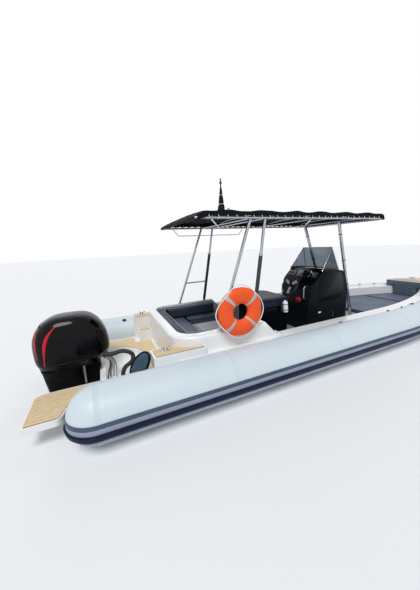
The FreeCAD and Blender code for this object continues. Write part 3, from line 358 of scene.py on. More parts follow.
class Effects:
    """Builds each shared shader group once and hands it out by name."""

    made: dict[str, bpy.types.NodeTree] = {}

    @classmethod
    def get(cls, name: str) -> bpy.types.NodeTree:
        """Return the group of that name, built on first use."""
        if name not in cls.made:
            cls.made[name] = cls.mottle() if name == "mottle" else cls.relief(name)
        return cls.made[name]

    @staticmethod
    def mottle() -> bpy.types.NodeTree:
        """Return the group that varies a colour and a value softly over a surface."""
        group = Group("mottle", {"Vector": None, "Size": 4.0, "First": (1, 1, 1, 1),
                                 "Second": (1, 1, 1, 1), "Low": 0.3, "High": 0.5},
                      {"Colour": "Color", "Roughness": "Float"})
        cloud = group.texture("Noise", {"Detail": 5.0, "Roughness": 0.62})
        share = group.add("MapRange", {"From Min": 0.35, "From Max": 0.65})
        mix = group.add("Mix", data_type="RGBA")
        rough = group.add("MapRange", {"From Min": 0.0, "From Max": 1.0})
        given, result = group.start.outputs, group.end.inputs
        for source, target in ((cloud.outputs[0], share.inputs["Value"]),
                               (share.outputs[0], mix.inputs[0]),
                               (given["First"], mix.inputs[6]),
                               (given["Second"], mix.inputs[7]),
                               (share.outputs[0], rough.inputs["Value"]),
                               (given["Low"], rough.inputs["To Min"]),
                               (given["High"], rough.inputs["To Max"]),
                               (mix.outputs[2], result["Colour"]),
                               (rough.outputs[0], result["Roughness"])):
            group.join(source, target)
        return group.tree

    @classmethod
    def relief(cls, name: str) -> bpy.types.NodeTree:
        """Return a group that turns a place and a size into a height."""
        group = Group(name, {"Vector": None, "Size": 300.0}, {"Height": "Float"})
        builder = {"plain_weave": cls.weave, "pebble_grain": cls.pebble,
                   "foam_cells": cls.foam, "brush_marks": cls.brush}.get(name, cls.noisy)
        group.join(builder(group), group.end.inputs["Height"])
        return group.tree

    @staticmethod
    def noisy(group: Group) -> Socket:
        """Return plain noise, with more detail in the fine grain."""
        detail = 3.0 if group.name == "fine_grain" else 1.0
        return group.texture("Noise", {"Detail": detail}).outputs[0]

    @staticmethod
    def pebble(group: Group) -> Socket:
        """Return the rounded cells that stand for vinyl grain."""
        cells = group.texture("Voronoi", feature="SMOOTH_F1")
        cloud = group.texture("Noise", {"Detail": 2.0}, 0.2)
        return group.maths("ADD", cells.outputs["Distance"], cloud.outputs[0])

    @staticmethod
    def weave(group: Group) -> Socket:
        """Return crossing threads."""
        parts = group.add("SeparateXYZ")
        group.join(group.start.outputs["Vector"], parts.inputs[0])
        slant = group.maths("MULTIPLY", parts.outputs[2], 0.8)
        threads = []
        for axis in (0, 1):
            place = group.maths("ADD", parts.outputs[axis], slant)
            turn = group.maths("MULTIPLY", place, group.start.outputs["Size"])
            threads.append(group.maths("ABSOLUTE", group.maths("SINE", turn)))
        return group.maths("MAXIMUM", *threads)

    @staticmethod
    def foam(group: Group) -> Socket:
        """Return the small open cells that stand for closed-cell foam."""
        cells = group.texture("Voronoi", feature="F1")
        return group.maths("POWER", cells.outputs["Distance"], 0.5)

    @staticmethod
    def brush(group: Group) -> Socket:
        """Return fine marks drawn out along the height of a part."""
        stretch = group.add("VectorMath", {1: (1.0, 1.0, 0.08)}, operation="MULTIPLY")
        group.join(group.start.outputs["Vector"], stretch.inputs[0])
        cloud = group.texture("Noise", {"Detail": 2.0})
        group.join(stretch.outputs[0], cloud.inputs["Vector"])
        return cloud.outputs[0]


@dataclass(frozen=True)
class Surface:
    """What every finish has: a name, a slot and a material built on first use."""

    name: str
    slot: str

    def material(self) -> bpy.types.Material:
        """Return the finish as a material, built on first use."""
        found = bpy.data.materials.get(self.name)
        if not found:
            found = bpy.data.materials.new(self.name)
            found.use_nodes = True
            self.wire(Wiring(found.node_tree), found.node_tree.nodes["Principled BSDF"])
        return found

    def wire(self, wiring: Wiring, shader: bpy.types.Node) -> None:
        """Wire the material's nodes; each kind of finish has its own."""
        raise NotImplementedError

    @staticmethod
    def tone(wiring: Wiring, shader: bpy.types.Node,
             values: dict[str, object]) -> tuple[Socket, Socket]:
        """Add the mottled tone and give its roughness to the shader.

        Args:
            wiring: The material's nodes.
            shader: The Principled node.
            values: The mottle group's inputs.

        Returns:
            The place on the object and the tone's colour.
        """
        place = wiring.add("TexCoord").outputs["Object"]
        tone = wiring.add("Group", values, node_tree=Effects.get("mottle"))
        wiring.join(place, tone.inputs["Vector"])
        wiring.join(tone.outputs["Roughness"], shader.inputs["Roughness"])
        return place, tone.outputs["Colour"]

    def cover(self, mesh: bpy.types.Mesh) -> None:
        """Make this finish a mesh's only material."""
        mesh.materials.clear()
        mesh.materials.append(self.material())

    def dress(self, *names: str) -> None:
        """Give this finish to CAD nodes that stay as they are.

        Args:
            names: The nodes' names.
        """
        for name in names:
            self.cover(NODES[name].data)
            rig.slot(NODES[name], self.slot)
            LOG.info("dressed %s in %s", name, self.name)


@dataclass(frozen=True)
class Finish(Surface):
    """An opaque finish: two tones, gloss and surface relief."""

    first: str
    second: str
    rough: tuple[float, float] = (0.35, 0.5)
    metallic: float = 0.0
    coat: float = 0.0
    coat_rough: float = 0.06
    sheen: float = 0.0
    specular: float = 0.5
    pattern: Pattern = Pattern.GRAIN
    grain: float = 300.0
    relief: float = 0.0002
    mottle: float = 5.0

    def like(self, name: str, slot: str, first: str, second: str,
             **changes: object) -> "Finish":
        """Return a finish of other tones that keeps what isn't changed."""
        return replace(self, name=name, slot=slot, first=first, second=second, **changes)

    def wire(self, wiring: Wiring, shader: bpy.types.Node) -> None:
        """Wire a mottled colour, a varied gloss and a bumped normal."""
        for key, value in (("Metallic", self.metallic), ("Coat Weight", self.coat),
                           ("Coat Roughness", self.coat_rough), ("Sheen Weight", self.sheen),
                           ("Specular IOR Level", self.specular)):
            shader.inputs[key].default_value = value
        low, high = self.rough
        place, tone = self.tone(wiring, shader, {
            "Size": self.mottle, "First": linear(self.first), "Second": linear(self.second),
            "Low": low, "High": high})
        self.colour(wiring, place, tone, shader.inputs["Base Color"])
        relief = wiring.add("Group", {"Size": self.grain},
                            node_tree=Effects.get(self.pattern.value))
        wiring.join(place, relief.inputs["Vector"])
        bump = wiring.add("Bump", {"Strength": 1.0, "Distance": self.relief})
        wiring.join(relief.outputs["Height"], bump.inputs["Height"])
        wiring.join(bump.outputs["Normal"], shader.inputs["Normal"])

    def colour(self, wiring: Wiring, place: Socket, tone: Socket, target: Socket) -> None:
        """Link the mottled tone to the base colour; place is for finishes that need it."""
        wiring.join(tone, target)


@dataclass(frozen=True)
class FlooredFinish(Finish):
    """A gelcoat whose lowest floor is a darker non-slip."""

    floor: str = "8d939a"
    floor_z: float = 0.178

    def colour(self, wiring: Wiring, place: Socket, tone: Socket, target: Socket) -> None:
        """Mix the floor's colour in below its height."""
        parts = wiring.add("SeparateXYZ")
        wiring.join(place, parts.inputs[0])
        mix = wiring.add("Mix", {7: linear(self.floor)}, data_type="RGBA")
        wiring.join(wiring.maths("LESS_THAN", parts.outputs[2], self.floor_z), mix.inputs[0])
        wiring.join(tone, mix.inputs[6])
        wiring.join(mix.outputs[2], target)


@dataclass(frozen=True)
class Glass(Surface):
    """A tinted clear sheet."""

    tint: str
    rough: float = 0.02
    rough_spread: float = 0.03
    mottle: float = 9.0
    clear: float = 0.92
    ior: float = 1.45

    def wire(self, wiring: Wiring, shader: bpy.types.Node) -> None:
        """Wire a clear tint whose gloss hardly varies."""
        shader.inputs["Transmission Weight"].default_value = self.clear
        shader.inputs["IOR"].default_value = self.ior
        _, tone = self.tone(wiring, shader, {
            "Size": self.mottle, "First": linear(self.tint), "Second": linear(self.tint),
            "Low": self.rough, "High": self.rough + self.rough_spread})
        wiring.join(tone, shader.inputs["Base Color"])


TUBE_SKIN = Finish("tube_skin", "tube_fabric", "cedae1", "cad6dd", (0.36, 0.48), specular=0.4,
                   pattern=Pattern.WEAVE, grain=1400.0, relief=0.00005, mottle=1.2)
TUBE_TAPE = TUBE_SKIN.like("tube_tape", "tube_fabric", "c8d5dc", "c4d1d8", rough=(0.42, 0.52),
                           relief=0.00006, mottle=3.0)
BAND_GREY = TUBE_TAPE.like("band_fabric", "band_grey", "9aa3b5", "939cae", specular=0.35,
                           relief=0.00005)
LINE_SLATE = Finish("line_rubber", "band_grey", "47556a", "405063", (0.42, 0.54), specular=0.3,
                    grain=500.0, relief=0.0001, mottle=6.0)
STRAKE_NAVY = Finish("strake_rubber", "strake_navy", "141d37", "111930", (0.4, 0.54),
                     specular=0.12, grain=420.0, mottle=4.0)
GELCOAT = Finish("gelcoat", "gelcoat_white", "eff0f0", "e9ebec", (0.12, 0.24), coat=0.4,
                 pattern=Pattern.SMOOTH, grain=60.0, mottle=1.5)
DECK_GELCOAT = FlooredFinish("deck_gelcoat", "gelcoat_white", "eff0f0", "e8eaeb", (0.14, 0.28),
                             coat=0.3, pattern=Pattern.SMOOTH, grain=60.0, mottle=1.5)
VINYL_NAVY = Finish("vinyl_navy", "vinyl_dark", "1b2435", "182030", (0.42, 0.54),
                    specular=0.15, pattern=Pattern.LEATHER, grain=420.0, relief=0.0004,
                    mottle=3.0)
VINYL_BACK = VINYL_NAVY.like("vinyl_back", "vinyl_dark", "2f3a4a", "2a3443", specular=0.2)
VINYL_OVAL = VINYL_BACK.like("vinyl_oval", "vinyl_dark", "3f546b", "3a4d63", mottle=6.0)
VINYL_QUILT = VINYL_NAVY.like("vinyl_quilt", "vinyl_dark", "65707f", "5e6977", specular=0.25)
# Seat vinyl: its own grey, set darker for the partial shade over the seat tops, so part of this tone is painted shade.
VINYL_SEAT_PAINTED_SHADE = VINYL_QUILT.like("vinyl_seat", "vinyl_grey", "505a69", "4a5462",
                              rough=(0.44, 0.56))
VINYL_PAD = VINYL_QUILT.like("vinyl_pad", "vinyl_grey", "525d71", "4d586b",
                             rough=(0.46, 0.58), mottle=2.0)
PIPING_GREY = Finish("piping_grey", "vinyl_grey", "9aa1ad", "9299a5", (0.4, 0.5),
                     grain=600.0, relief=0.0001)
PIPING_DARK = PIPING_GREY.like("piping_dark", "vinyl_dark", "0b0f17", "0e131c", specular=0.1)
PIPING_WHITE = PIPING_GREY.like("piping_white", "vinyl_grey", "dfe1e3", "d6d9dc",
                                rough=(0.35, 0.45))
BLACK_GLOSS = Finish("console_gloss", "black_gloss", "080b11", "06090e", (0.14, 0.24),
                     specular=0.1, pattern=Pattern.SMOOTH, grain=40.0, mottle=3.0)
CHARCOAL = Finish("console_charcoal", "black_gloss", "12161e", "0f1319", (0.36, 0.48),
                  specular=0.1, grain=240.0, mottle=3.0)
SCREEN_GLASS = Finish("screen_glass", "black_gloss", "162230", "1b2939", (0.05, 0.1),
                      specular=0.4, pattern=Pattern.SMOOTH, mottle=3.0)
STEEL = Finish("polished_steel", "stainless", "b4b9bf", "a6abb2", (0.14, 0.26), metallic=1.0,
               pattern=Pattern.BRUSHED, grain=260.0, relief=0.00003, mottle=12.0)
CANVAS = Finish("canopy_canvas", "canopy_cloth", "12141a", "171a20", (0.75, 0.88), sheen=0.02,
                specular=0.06, pattern=Pattern.WEAVE, grain=1100.0, relief=0.0003, mottle=2.5)
FLAG_CLOTH = Finish("furled_cloth", "flag_cloth", "14201f", "1b2a2b", (0.65, 0.8), sheen=0.02,
                    specular=0.08, pattern=Pattern.WEAVE, grain=1800.0, mottle=30.0)
ROPE = Finish("laid_rope", "rope_white", "efece6", "e2dfd8", (0.75, 0.9), sheen=0.2,
              specular=0.2, pattern=Pattern.WEAVE, grain=1600.0, relief=0.0006, mottle=40.0)
WHITE_PLASTIC = Finish("white_plastic", "white_plastic", "eceded", "e4e6e7", (0.25, 0.38),
                       relief=0.00006, mottle=8.0)
BLACK_PLASTIC = Finish("black_plastic", "black_plastic", "101216", "0d0f12", (0.4, 0.52),
                       specular=0.12, grain=500.0, mottle=10.0)
SWITCH_RED = Finish("switch_red", "black_plastic", "bb1f1a", "a81a16", (0.2, 0.3), mottle=12.0)
CABLE_GREY = Finish("cable_grey", "white_plastic", "9da3a8", "8f959b", (0.4, 0.5), grain=500.0,
                    relief=0.0001, mottle=20.0)
BUOY_SKIN = Finish("buoy_skin", "buoy_orange", "f25a1c", "ea5216", (0.4, 0.52), specular=0.35,
                   grain=220.0, relief=0.0003)
BUOY_BAND = Finish("buoy_band", "white_plastic", "a9abae", "b3b5b8", (0.22, 0.34),
                   pattern=Pattern.LEATHER, grain=500.0, mottle=8.0)
# Foam decking: its own tan, set lighter to offset the shade that the engine and tubes cast on the decking, so part of
# this tone is painted light.
FOAM = Finish("foam_decking", "foam_tan", "e4cda8", "dbc39c", (0.78, 0.9), specular=0.2,
              pattern=Pattern.FOAM, grain=520.0, relief=0.0007, mottle=18.0)
FOAM_SEAM = FOAM.like("foam_seam", "foam_tan", "6f5839", "664f32", rough=(0.8, 0.9),
                      relief=0.0003, mottle=20.0)
COWL_GLOSS = Finish("cowl_gloss", "engine_black", "040508", "07080c", (0.06, 0.14),
                    specular=0.16, pattern=Pattern.SMOOTH, grain=24.0, relief=0.0003,
                    mottle=6.0)
COWL_MATTE = Finish("cowl_matte", "engine_black", "090a0d", "07080b", (0.5, 0.65),
                    specular=0.08, grain=420.0, relief=0.00025, mottle=8.0)
STRIPE_RED = Finish("stripe_red", "engine_black", "cb1724", "be141f", (0.14, 0.24),
                    specular=0.25, pattern=Pattern.SMOOTH, grain=40.0, relief=0.0001,
                    mottle=10.0)
TRIM_GREY = Finish("trim_grey", "engine_black", "3d4046", "34373c", (0.25, 0.35),
                   metallic=0.6, relief=0.00005, mottle=10.0)
ENGINE_BLOCK = Finish("engine_block", "engine_block", "5a5d61", "4c4f53", (0.5, 0.65),
                      metallic=0.5, grain=120.0, relief=0.0006, mottle=12.0)
RUBBER = Finish("black_rubber", "black_rubber", "131316", "181716", (0.6, 0.75),
                specular=0.15, grain=350.0, relief=0.0003, mottle=12.0)
SCREEN_TINT = Glass("smoked_screen", "smoked_glass", "7a848f")


def edges_of(verts: Iterable[bmesh.types.BMVert]) -> list[bmesh.types.BMEdge]:
    """Return the edges that meet at some vertices, in the order that they are met."""
    return list(dict.fromkeys(edge for vert in verts for edge in vert.link_edges))


def only(items: Iterable, kind: type) -> list:
    """Return the items of one kind from an operator's result."""
    return [item for item in items if isinstance(item, kind)]


def round_off(form: Form, geom: list, offset: float, segments: int = 2,
              affect: str = "EDGES") -> list[bmesh.types.BMVert]:
    """Round edges or corners.

    Args:
        form: The bmesh that holds them.
        geom: The edges, or the vertices of the corners.
        offset: How far the rounding reaches.
        segments: Its steps.
        affect: EDGES or VERTICES.

    Returns:
        The vertices that it makes.
    """
    return bmesh.ops.bevel(form, geom=geom, offset=offset, segments=segments, profile=0.5,
                           material=-1, affect=affect)["verts"]


def inset(form: Form, thickness: float) -> list[bmesh.types.BMFace]:
    """Draw the outline of flat areas in and return the faces along it."""
    return bmesh.ops.inset_region(form, faces=form.faces, thickness=thickness,
                                  use_even_offset=True)["faces"]


def shrink(form: Form, thickness: float) -> None:
    """Draw the outline of flat areas in and take the faces along it away."""
    bmesh.ops.delete(form, geom=inset(form, thickness), context="FACES")


def pour(source: Form, target: Form) -> None:
    """Add one bmesh to another and free it.

    Args:
        source: The bmesh that is added.
        target: The bmesh that it goes into.
    """
    mesh = bpy.data.meshes.new("poured")
    source.to_mesh(mesh)
    source.free()
    target.from_mesh(mesh)
    bpy.data.meshes.remove(mesh)


def axes_at(origin: Point, u: Vector, v: Vector, w: Vector) -> Matrix:
    """Return the matrix that takes x, y and z to three axes at an origin."""
    return Matrix.Translation(origin) @ Matrix((u, v, w)).transposed().to_4x4()


def loft(form: Form, loops: Sequence[list], capped: Sequence[int] = ()) -> None:
    """Join loops of edges in turn and fill some of them.

    Args:
        form: The bmesh that holds them.
        loops: The edges of each loop.
        capped: The places in loops of those that are filled.
    """
    for first, second in zip(loops, loops[1:]):
        bmesh.ops.bridge_loops(form, edges=first + second)
    if capped:
        bmesh.ops.holes_fill(form, edges=[edge for place in capped for edge in loops[place]],
                             sides=len(loops[0]))


def stand(name: str, data: bpy.types.ID) -> Piece:
    """Put a new object in the scene.

    Args:
        name: Its name.
        data: Its mesh, lamp or camera.

    Returns:
        The object.
    """
    piece = bpy.data.objects.new(name, data)
    bpy.context.scene.collection.objects.link(piece)
    return piece


def lengths_along(points: Sequence[Vector]) -> list[float]:
    """Measure a line.

    Args:
        points: The line's points in order.

    Returns:
        The length from the start to each point.
    """
    lengths = [0.0]
    for before, here in zip(points, points[1:]):
        lengths.append(lengths[-1] + (here - before).length)
    return lengths


def merge_copy(name: str) -> Form:
    """Return a merged copy of a CAD node's mesh.

    Args:
        name: The node's name.

    Returns:
        A bmesh with shared vertices and no doubles.
    """
    form = bmesh.new()
    form.from_mesh(NODES[name].data)
    bmesh.ops.remove_doubles(form, verts=form.verts, dist=1e-5)
    return form


def loose_solids(name: str) -> list[Form]:
    """Return one merged bmesh for each separate solid of a CAD node.

    Args:
        name: The node's name.

    Returns:
        The solids in order of their lowest corner's x and y.
    """
    whole = merge_copy(name)
    whole.verts.index_update()
    seen: set[int] = set()
    groups = []
    for start in whole.verts:
        if start.index in seen:
            continue
        queue, members = [start], set()
        seen.add(start.index)
        while queue:
            here = queue.pop()
            members.add(here.index)
            for edge in here.link_edges:
                other = edge.other_vert(here)
                if other.index not in seen:
                    seen.add(other.index)
                    queue.append(other)
        groups.append(members)
    solids = []
    for members in groups:
        part = whole.copy()
        part.verts.ensure_lookup_table()
        gone = [vert for vert in part.verts if vert.index not in members]
        bmesh.ops.delete(part, geom=gone, context="VERTS")
        solids.append(part)
    whole.free()
    solids.sort(key=lambda part: (round(min(v.co.x for v in part.verts), 2),
                                  min(v.co.y for v in part.verts)))
    return solids


def finish_piece(name: str, form: Form, finish: Surface, body: str = "boat",
                 replaces: Sequence[str] = (), sharp: float = 35.0, turn: bool = True) -> Piece:
    """Make a piece of the object from a bmesh.

    Args:
        name: The piece's name.
        form: The bmesh, which is freed.
        finish: The finish that it wears.
        body: The CAD body that it rides on.
        replaces: CAD nodes that it stands for.
        sharp: Edges over this angle in degrees stay sharp.
        turn: Whether the normals are recalculated.

    Returns:
        The new object.
    """
    if turn:
        bmesh.ops.recalc_face_normals(form, faces=form.faces)
    mesh = bpy.data.meshes.new(name)
    form.to_mesh(mesh)
    form.free()
    mesh.shade_smooth()
    mesh.set_sharp_from_angle(angle=math.radians(sharp))
    finish.cover(mesh)
    piece = stand(name, mesh)
    if body:
        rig.ride(piece, body)
    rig.slot(piece, finish.slot)
    if replaces:
        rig.replaces(piece, *replaces)
    LOG.info("made %s, %d faces, on %s", name, len(mesh.polygons), body or "a blend")
    return piece


def add_box(form: Form, low: Point, high: Point,
            bevel: float = 0.0, matrix: Matrix | None = None) -> list:
    """Add a box with rounded edges.

    Args:
        form: The bmesh that it goes into.
        low: The lowest corner.
        high: The highest corner.
        bevel: The edges' rounding.
        matrix: A turn applied after the box is in place.

    Returns:
        The box's vertices.
    """
    low, high = Vector(low), Vector(high)
    made = bmesh.ops.create_cube(form, size=1.0)["verts"]
    bmesh.ops.scale(form, vec=high - low, verts=made)
    bmesh.ops.translate(form, vec=(high + low) / 2, verts=made)
    if bevel:
        made = round_off(form, edges_of(made), bevel)
    if matrix:
        bmesh.ops.transform(form, matrix=matrix, verts=made)
    return made


def add_rod(form: Form, start: Point, end: Point,
            radius: float, end_radius: float | None = None, segments: int = 24,
            bevel: float = 0.0) -> None:
    """Add a round bar, cone or disc between two points.

    Args:
        form: The bmesh that it goes into.
        start: The centre of its first end.
        end: The centre of its other end.
        radius: The radius at the start.
        end_radius: The radius at the end, if another.
        segments: Faces round it.
        bevel: The rounding of its end edges.
    """
    start, end = Vector(start), Vector(end)
    along = end - start
    matrix = (Matrix.Translation((start + end) / 2)
              @ along.to_track_quat("Z", "Y").to_matrix().to_4x4())
    made = bmesh.ops.create_cone(form, cap_ends=True, segments=segments, radius1=radius,
                                 radius2=radius if end_radius is None else end_radius,
                                 depth=along.length, matrix=matrix)["verts"]
    if bevel:
        way = along.normalized()
        rims = [edge for edge in edges_of(made)
                if abs((edge.verts[0].co - edge.verts[1].co).dot(way)) < 1e-6]
        round_off(form, rims, bevel)


def add_lathe(form: Form, profile: Sequence[tuple[float, float]],
              origin: Point, axis: Point, steps: int = 48) -> None:
    """Spin a profile round an axis.

    Args:
        form: The bmesh that it goes into.
        profile: Pairs of the distance along the axis and the radius.
        origin: The point from which the distances run.
        axis: The axis.
        steps: Faces round it.
    """
    origin, axis = Vector(origin), Vector(axis).normalized()
    side = axis.orthogonal().normalized()
    verts = [form.verts.new(origin + axis * run + side * reach) for run, reach in profile]
    edges = [form.edges.new(pair) for pair in zip(verts, verts[1:])]
    bmesh.ops.spin(form, geom=verts + edges, cent=origin, axis=axis, angle=FULL_TURN,
                   steps=steps, use_merge=True)
    bmesh.ops.remove_doubles(form, verts=form.verts, dist=1e-6)


def add_ring(form: Form, centre: Point, axis: Point,
             reach: float, section: float, depth: float | None = None, start: float = 0.0,
             sweep: float = 360.0, steps: int = 96, around: int = 28) -> None:
    """Spin an oval section round an axis, all the way or in part.

    Args:
        form: The bmesh that it goes into.
        centre: The ring's centre.
        axis: The ring's axis.
        reach: The radius to the middle of the section.
        section: The section's half size across the ring.
        depth: The section's half size along the axis, if another.
        start: The angle in degrees where a part ring starts.
        sweep: The angle in degrees that it covers.
        steps: Faces along a full ring.
        around: Faces round the section.
    """
    centre, axis = Vector(centre), Vector(axis).normalized()
    side = (AHEAD if abs(axis.x) < 0.9 else UP).cross(axis).normalized()
    side = axis.cross(side).normalized()
    side.rotate(Matrix.Rotation(math.radians(start), 3, axis))
    across = axis.cross(side)
    matrix = (axes_at(centre + side * reach, side, axis, across)
              @ Matrix.Diagonal((section, depth or section, 1.0, 1.0)))
    made = bmesh.ops.create_circle(form, cap_ends=sweep < 359, segments=around, radius=1.0,
                                   matrix=matrix)["verts"]
    geom = list(made) + edges_of(made)
    geom += list(dict.fromkeys(face for vert in made for face in vert.link_faces))
    count = max(2, round(steps * sweep / 360))
    bmesh.ops.spin(form, geom=geom, cent=centre, axis=axis, angle=math.radians(sweep),
                   steps=count, use_merge=sweep > 359)


def add_plate(form: Form, corners: Sequence[tuple[float, float, float]],
              place: Callable[[Vector], Vector], thick: float, bevel: float = 0.001) -> None:
    """Add a plate with rounded corners.

    Args:
        form: The bmesh that it goes into.
        corners: The outline's corners as two coordinates and a rounding.
        place: Takes a point of the flat plate to its place.
        thick: The plate's thickness.
        bevel: The rounding of its upper edge.
    """
    plate = bmesh.new()
    verts = [plate.verts.new((u, v, 0)) for u, v, _ in corners]
    bmesh.ops.contextual_create(plate, geom=verts)
    for vert, (_, _, radius) in zip(verts, corners):
        if radius:
            round_off(plate, [vert], radius, 7, "VERTICES")
    grown = bmesh.ops.extrude_face_region(plate, geom=plate.faces[:])["geom"]
    bmesh.ops.translate(plate, vec=(0, 0, thick), verts=only(grown, bmesh.types.BMVert))
    round_off(plate, only(grown, bmesh.types.BMEdge), bevel)
    bmesh.ops.recalc_face_normals(plate, faces=plate.faces)
    for vert in plate.verts:
        vert.co = place(vert.co)
    pour(plate, form)


def curve_points(points: Sequence[Point], order: int = 3, cyclic: bool = False,
                 resolution: int = 10) -> list[Vector]:
    """Return points along the smooth curve that a route's points pull.

    Args:
        points: The route's points.
        order: The spline's order.
        cyclic: Whether the route closes.
        resolution: Steps for each point.

    Returns:
        The curve's points in order.
    """
    curve = bpy.data.curves.new("route", "CURVE")
    curve.dimensions = "3D"
    spline = curve.splines.new("NURBS")
    spline.points.add(len(points) - 1)
    for knot, point in zip(spline.points, points):
        knot.co = (*point, 1.0)
    spline.use_cyclic_u = cyclic
    spline.order_u = order
    spline.use_endpoint_u = not cyclic
    spline.resolution_u = resolution
    holder = bpy.data.objects.new("route", curve)
    mesh = bpy.data.meshes.new_from_object(holder)
    found = [vert.co.copy() for vert in mesh.vertices]
    bpy.data.objects.remove(holder)
    bpy.data.meshes.remove(mesh)
    return found


def add_tube(form: Form, route: Sequence[Vector],
             radius: float | Callable[[float], float], around: int = 12,
             closed: bool = False) -> None:
    """Add a round tube along a line of points.

    Args:
        form: The bmesh that it goes into.
        route: The points, close together.
        radius: The radius, or a function of the length from the start.
        around: Faces round it.
        closed: Whether the tube joins its own start.
    """
    count = len(route)
    normal = None
    run = 0.0
    loops = []
    for index, here in enumerate(route):
        before = route[index - 1] if index or closed else here
        after = route[(index + 1) % count] if index < count - 1 or closed else here
        way = (after - before).normalized()
        if normal is None:
            normal = way.orthogonal().normalized()
        normal = (normal - way * normal.dot(way)).normalized()
        if index:
            run += (here - route[index - 1]).length
        size = radius(run) if callable(radius) else radius
        matrix = axes_at(here, normal, way.cross(normal), way)
        made = bmesh.ops.create_circle(form, segments=around, radius=size, matrix=matrix)
        loops.append(edges_of(made["verts"]))
    if closed:
        loft(form, loops + loops[:1])
    else:
        loft(form, loops, capped=(0, -1))


def top_region(form: Form) -> float:
    """Leave only the upward faces at the top of a solid, dissolved into plain areas.

    Args:
        form: The solid, which is changed.

    Returns:
        The height of those faces.
    """
    top = max(vert.co.z for vert in form.verts)
    form.normal_update()
    gone = [face for face in form.faces
            if abs(face.normal.z) < 0.99 or face.calc_center_median().z < top - 1e-4]
    bmesh.ops.delete(form, geom=gone, context="FACES")
    for face in form.faces:
        if face.normal.z < 0:
            face.normal_flip()
    bmesh.ops.dissolve_limit(form, angle_limit=0.01, verts=form.verts, edges=form.edges)
    return top


def boundary_loops(form: Form) -> list[list[Vector]]:
    """Find the boundary of an open mesh.

    Args:
        form: The mesh.

    Returns:
        Each boundary loop as ordered points, from its first edge in the mesh's order.
    """
    left = dict.fromkeys(edge for edge in form.edges if edge.is_boundary)
    loops = []
    while left:
        edge = next(iter(left))
        del left[edge]
        first, here = edge.verts
        points = [first.co.copy(), here.co.copy()]
        while True:
            following = [e for e in here.link_edges if e in left]
            if not following:
                break
            del left[following[0]]
            here = following[0].other_vert(here)
            if here == first:
                break
            points.append(here.co.copy())
        loops.append(points)
    return loops


def evenly(points: Sequence[Vector], pitch: float) -> list[Vector]:
    """Return points at an even pitch along a closed loop.

    Args:
        points: The loop's corners in order.
        pitch: The distance between points.

    Returns:
        The new points.
    """
    closed = list(points) + [points[0]]
    total = lengths_along(closed)[-1]
    count = max(8, round(total / pitch))
    step = total / count
    found = []
    run = 0.0
    wanted = 0.0
    for a, b in zip(closed, closed[1:]):
        length = (b - a).length
        while wanted < run + length - 1e-9 and len(found) < count:
            found.append(a.lerp(b, (wanted - run) / length))
            wanted += step
        run += length
    return found


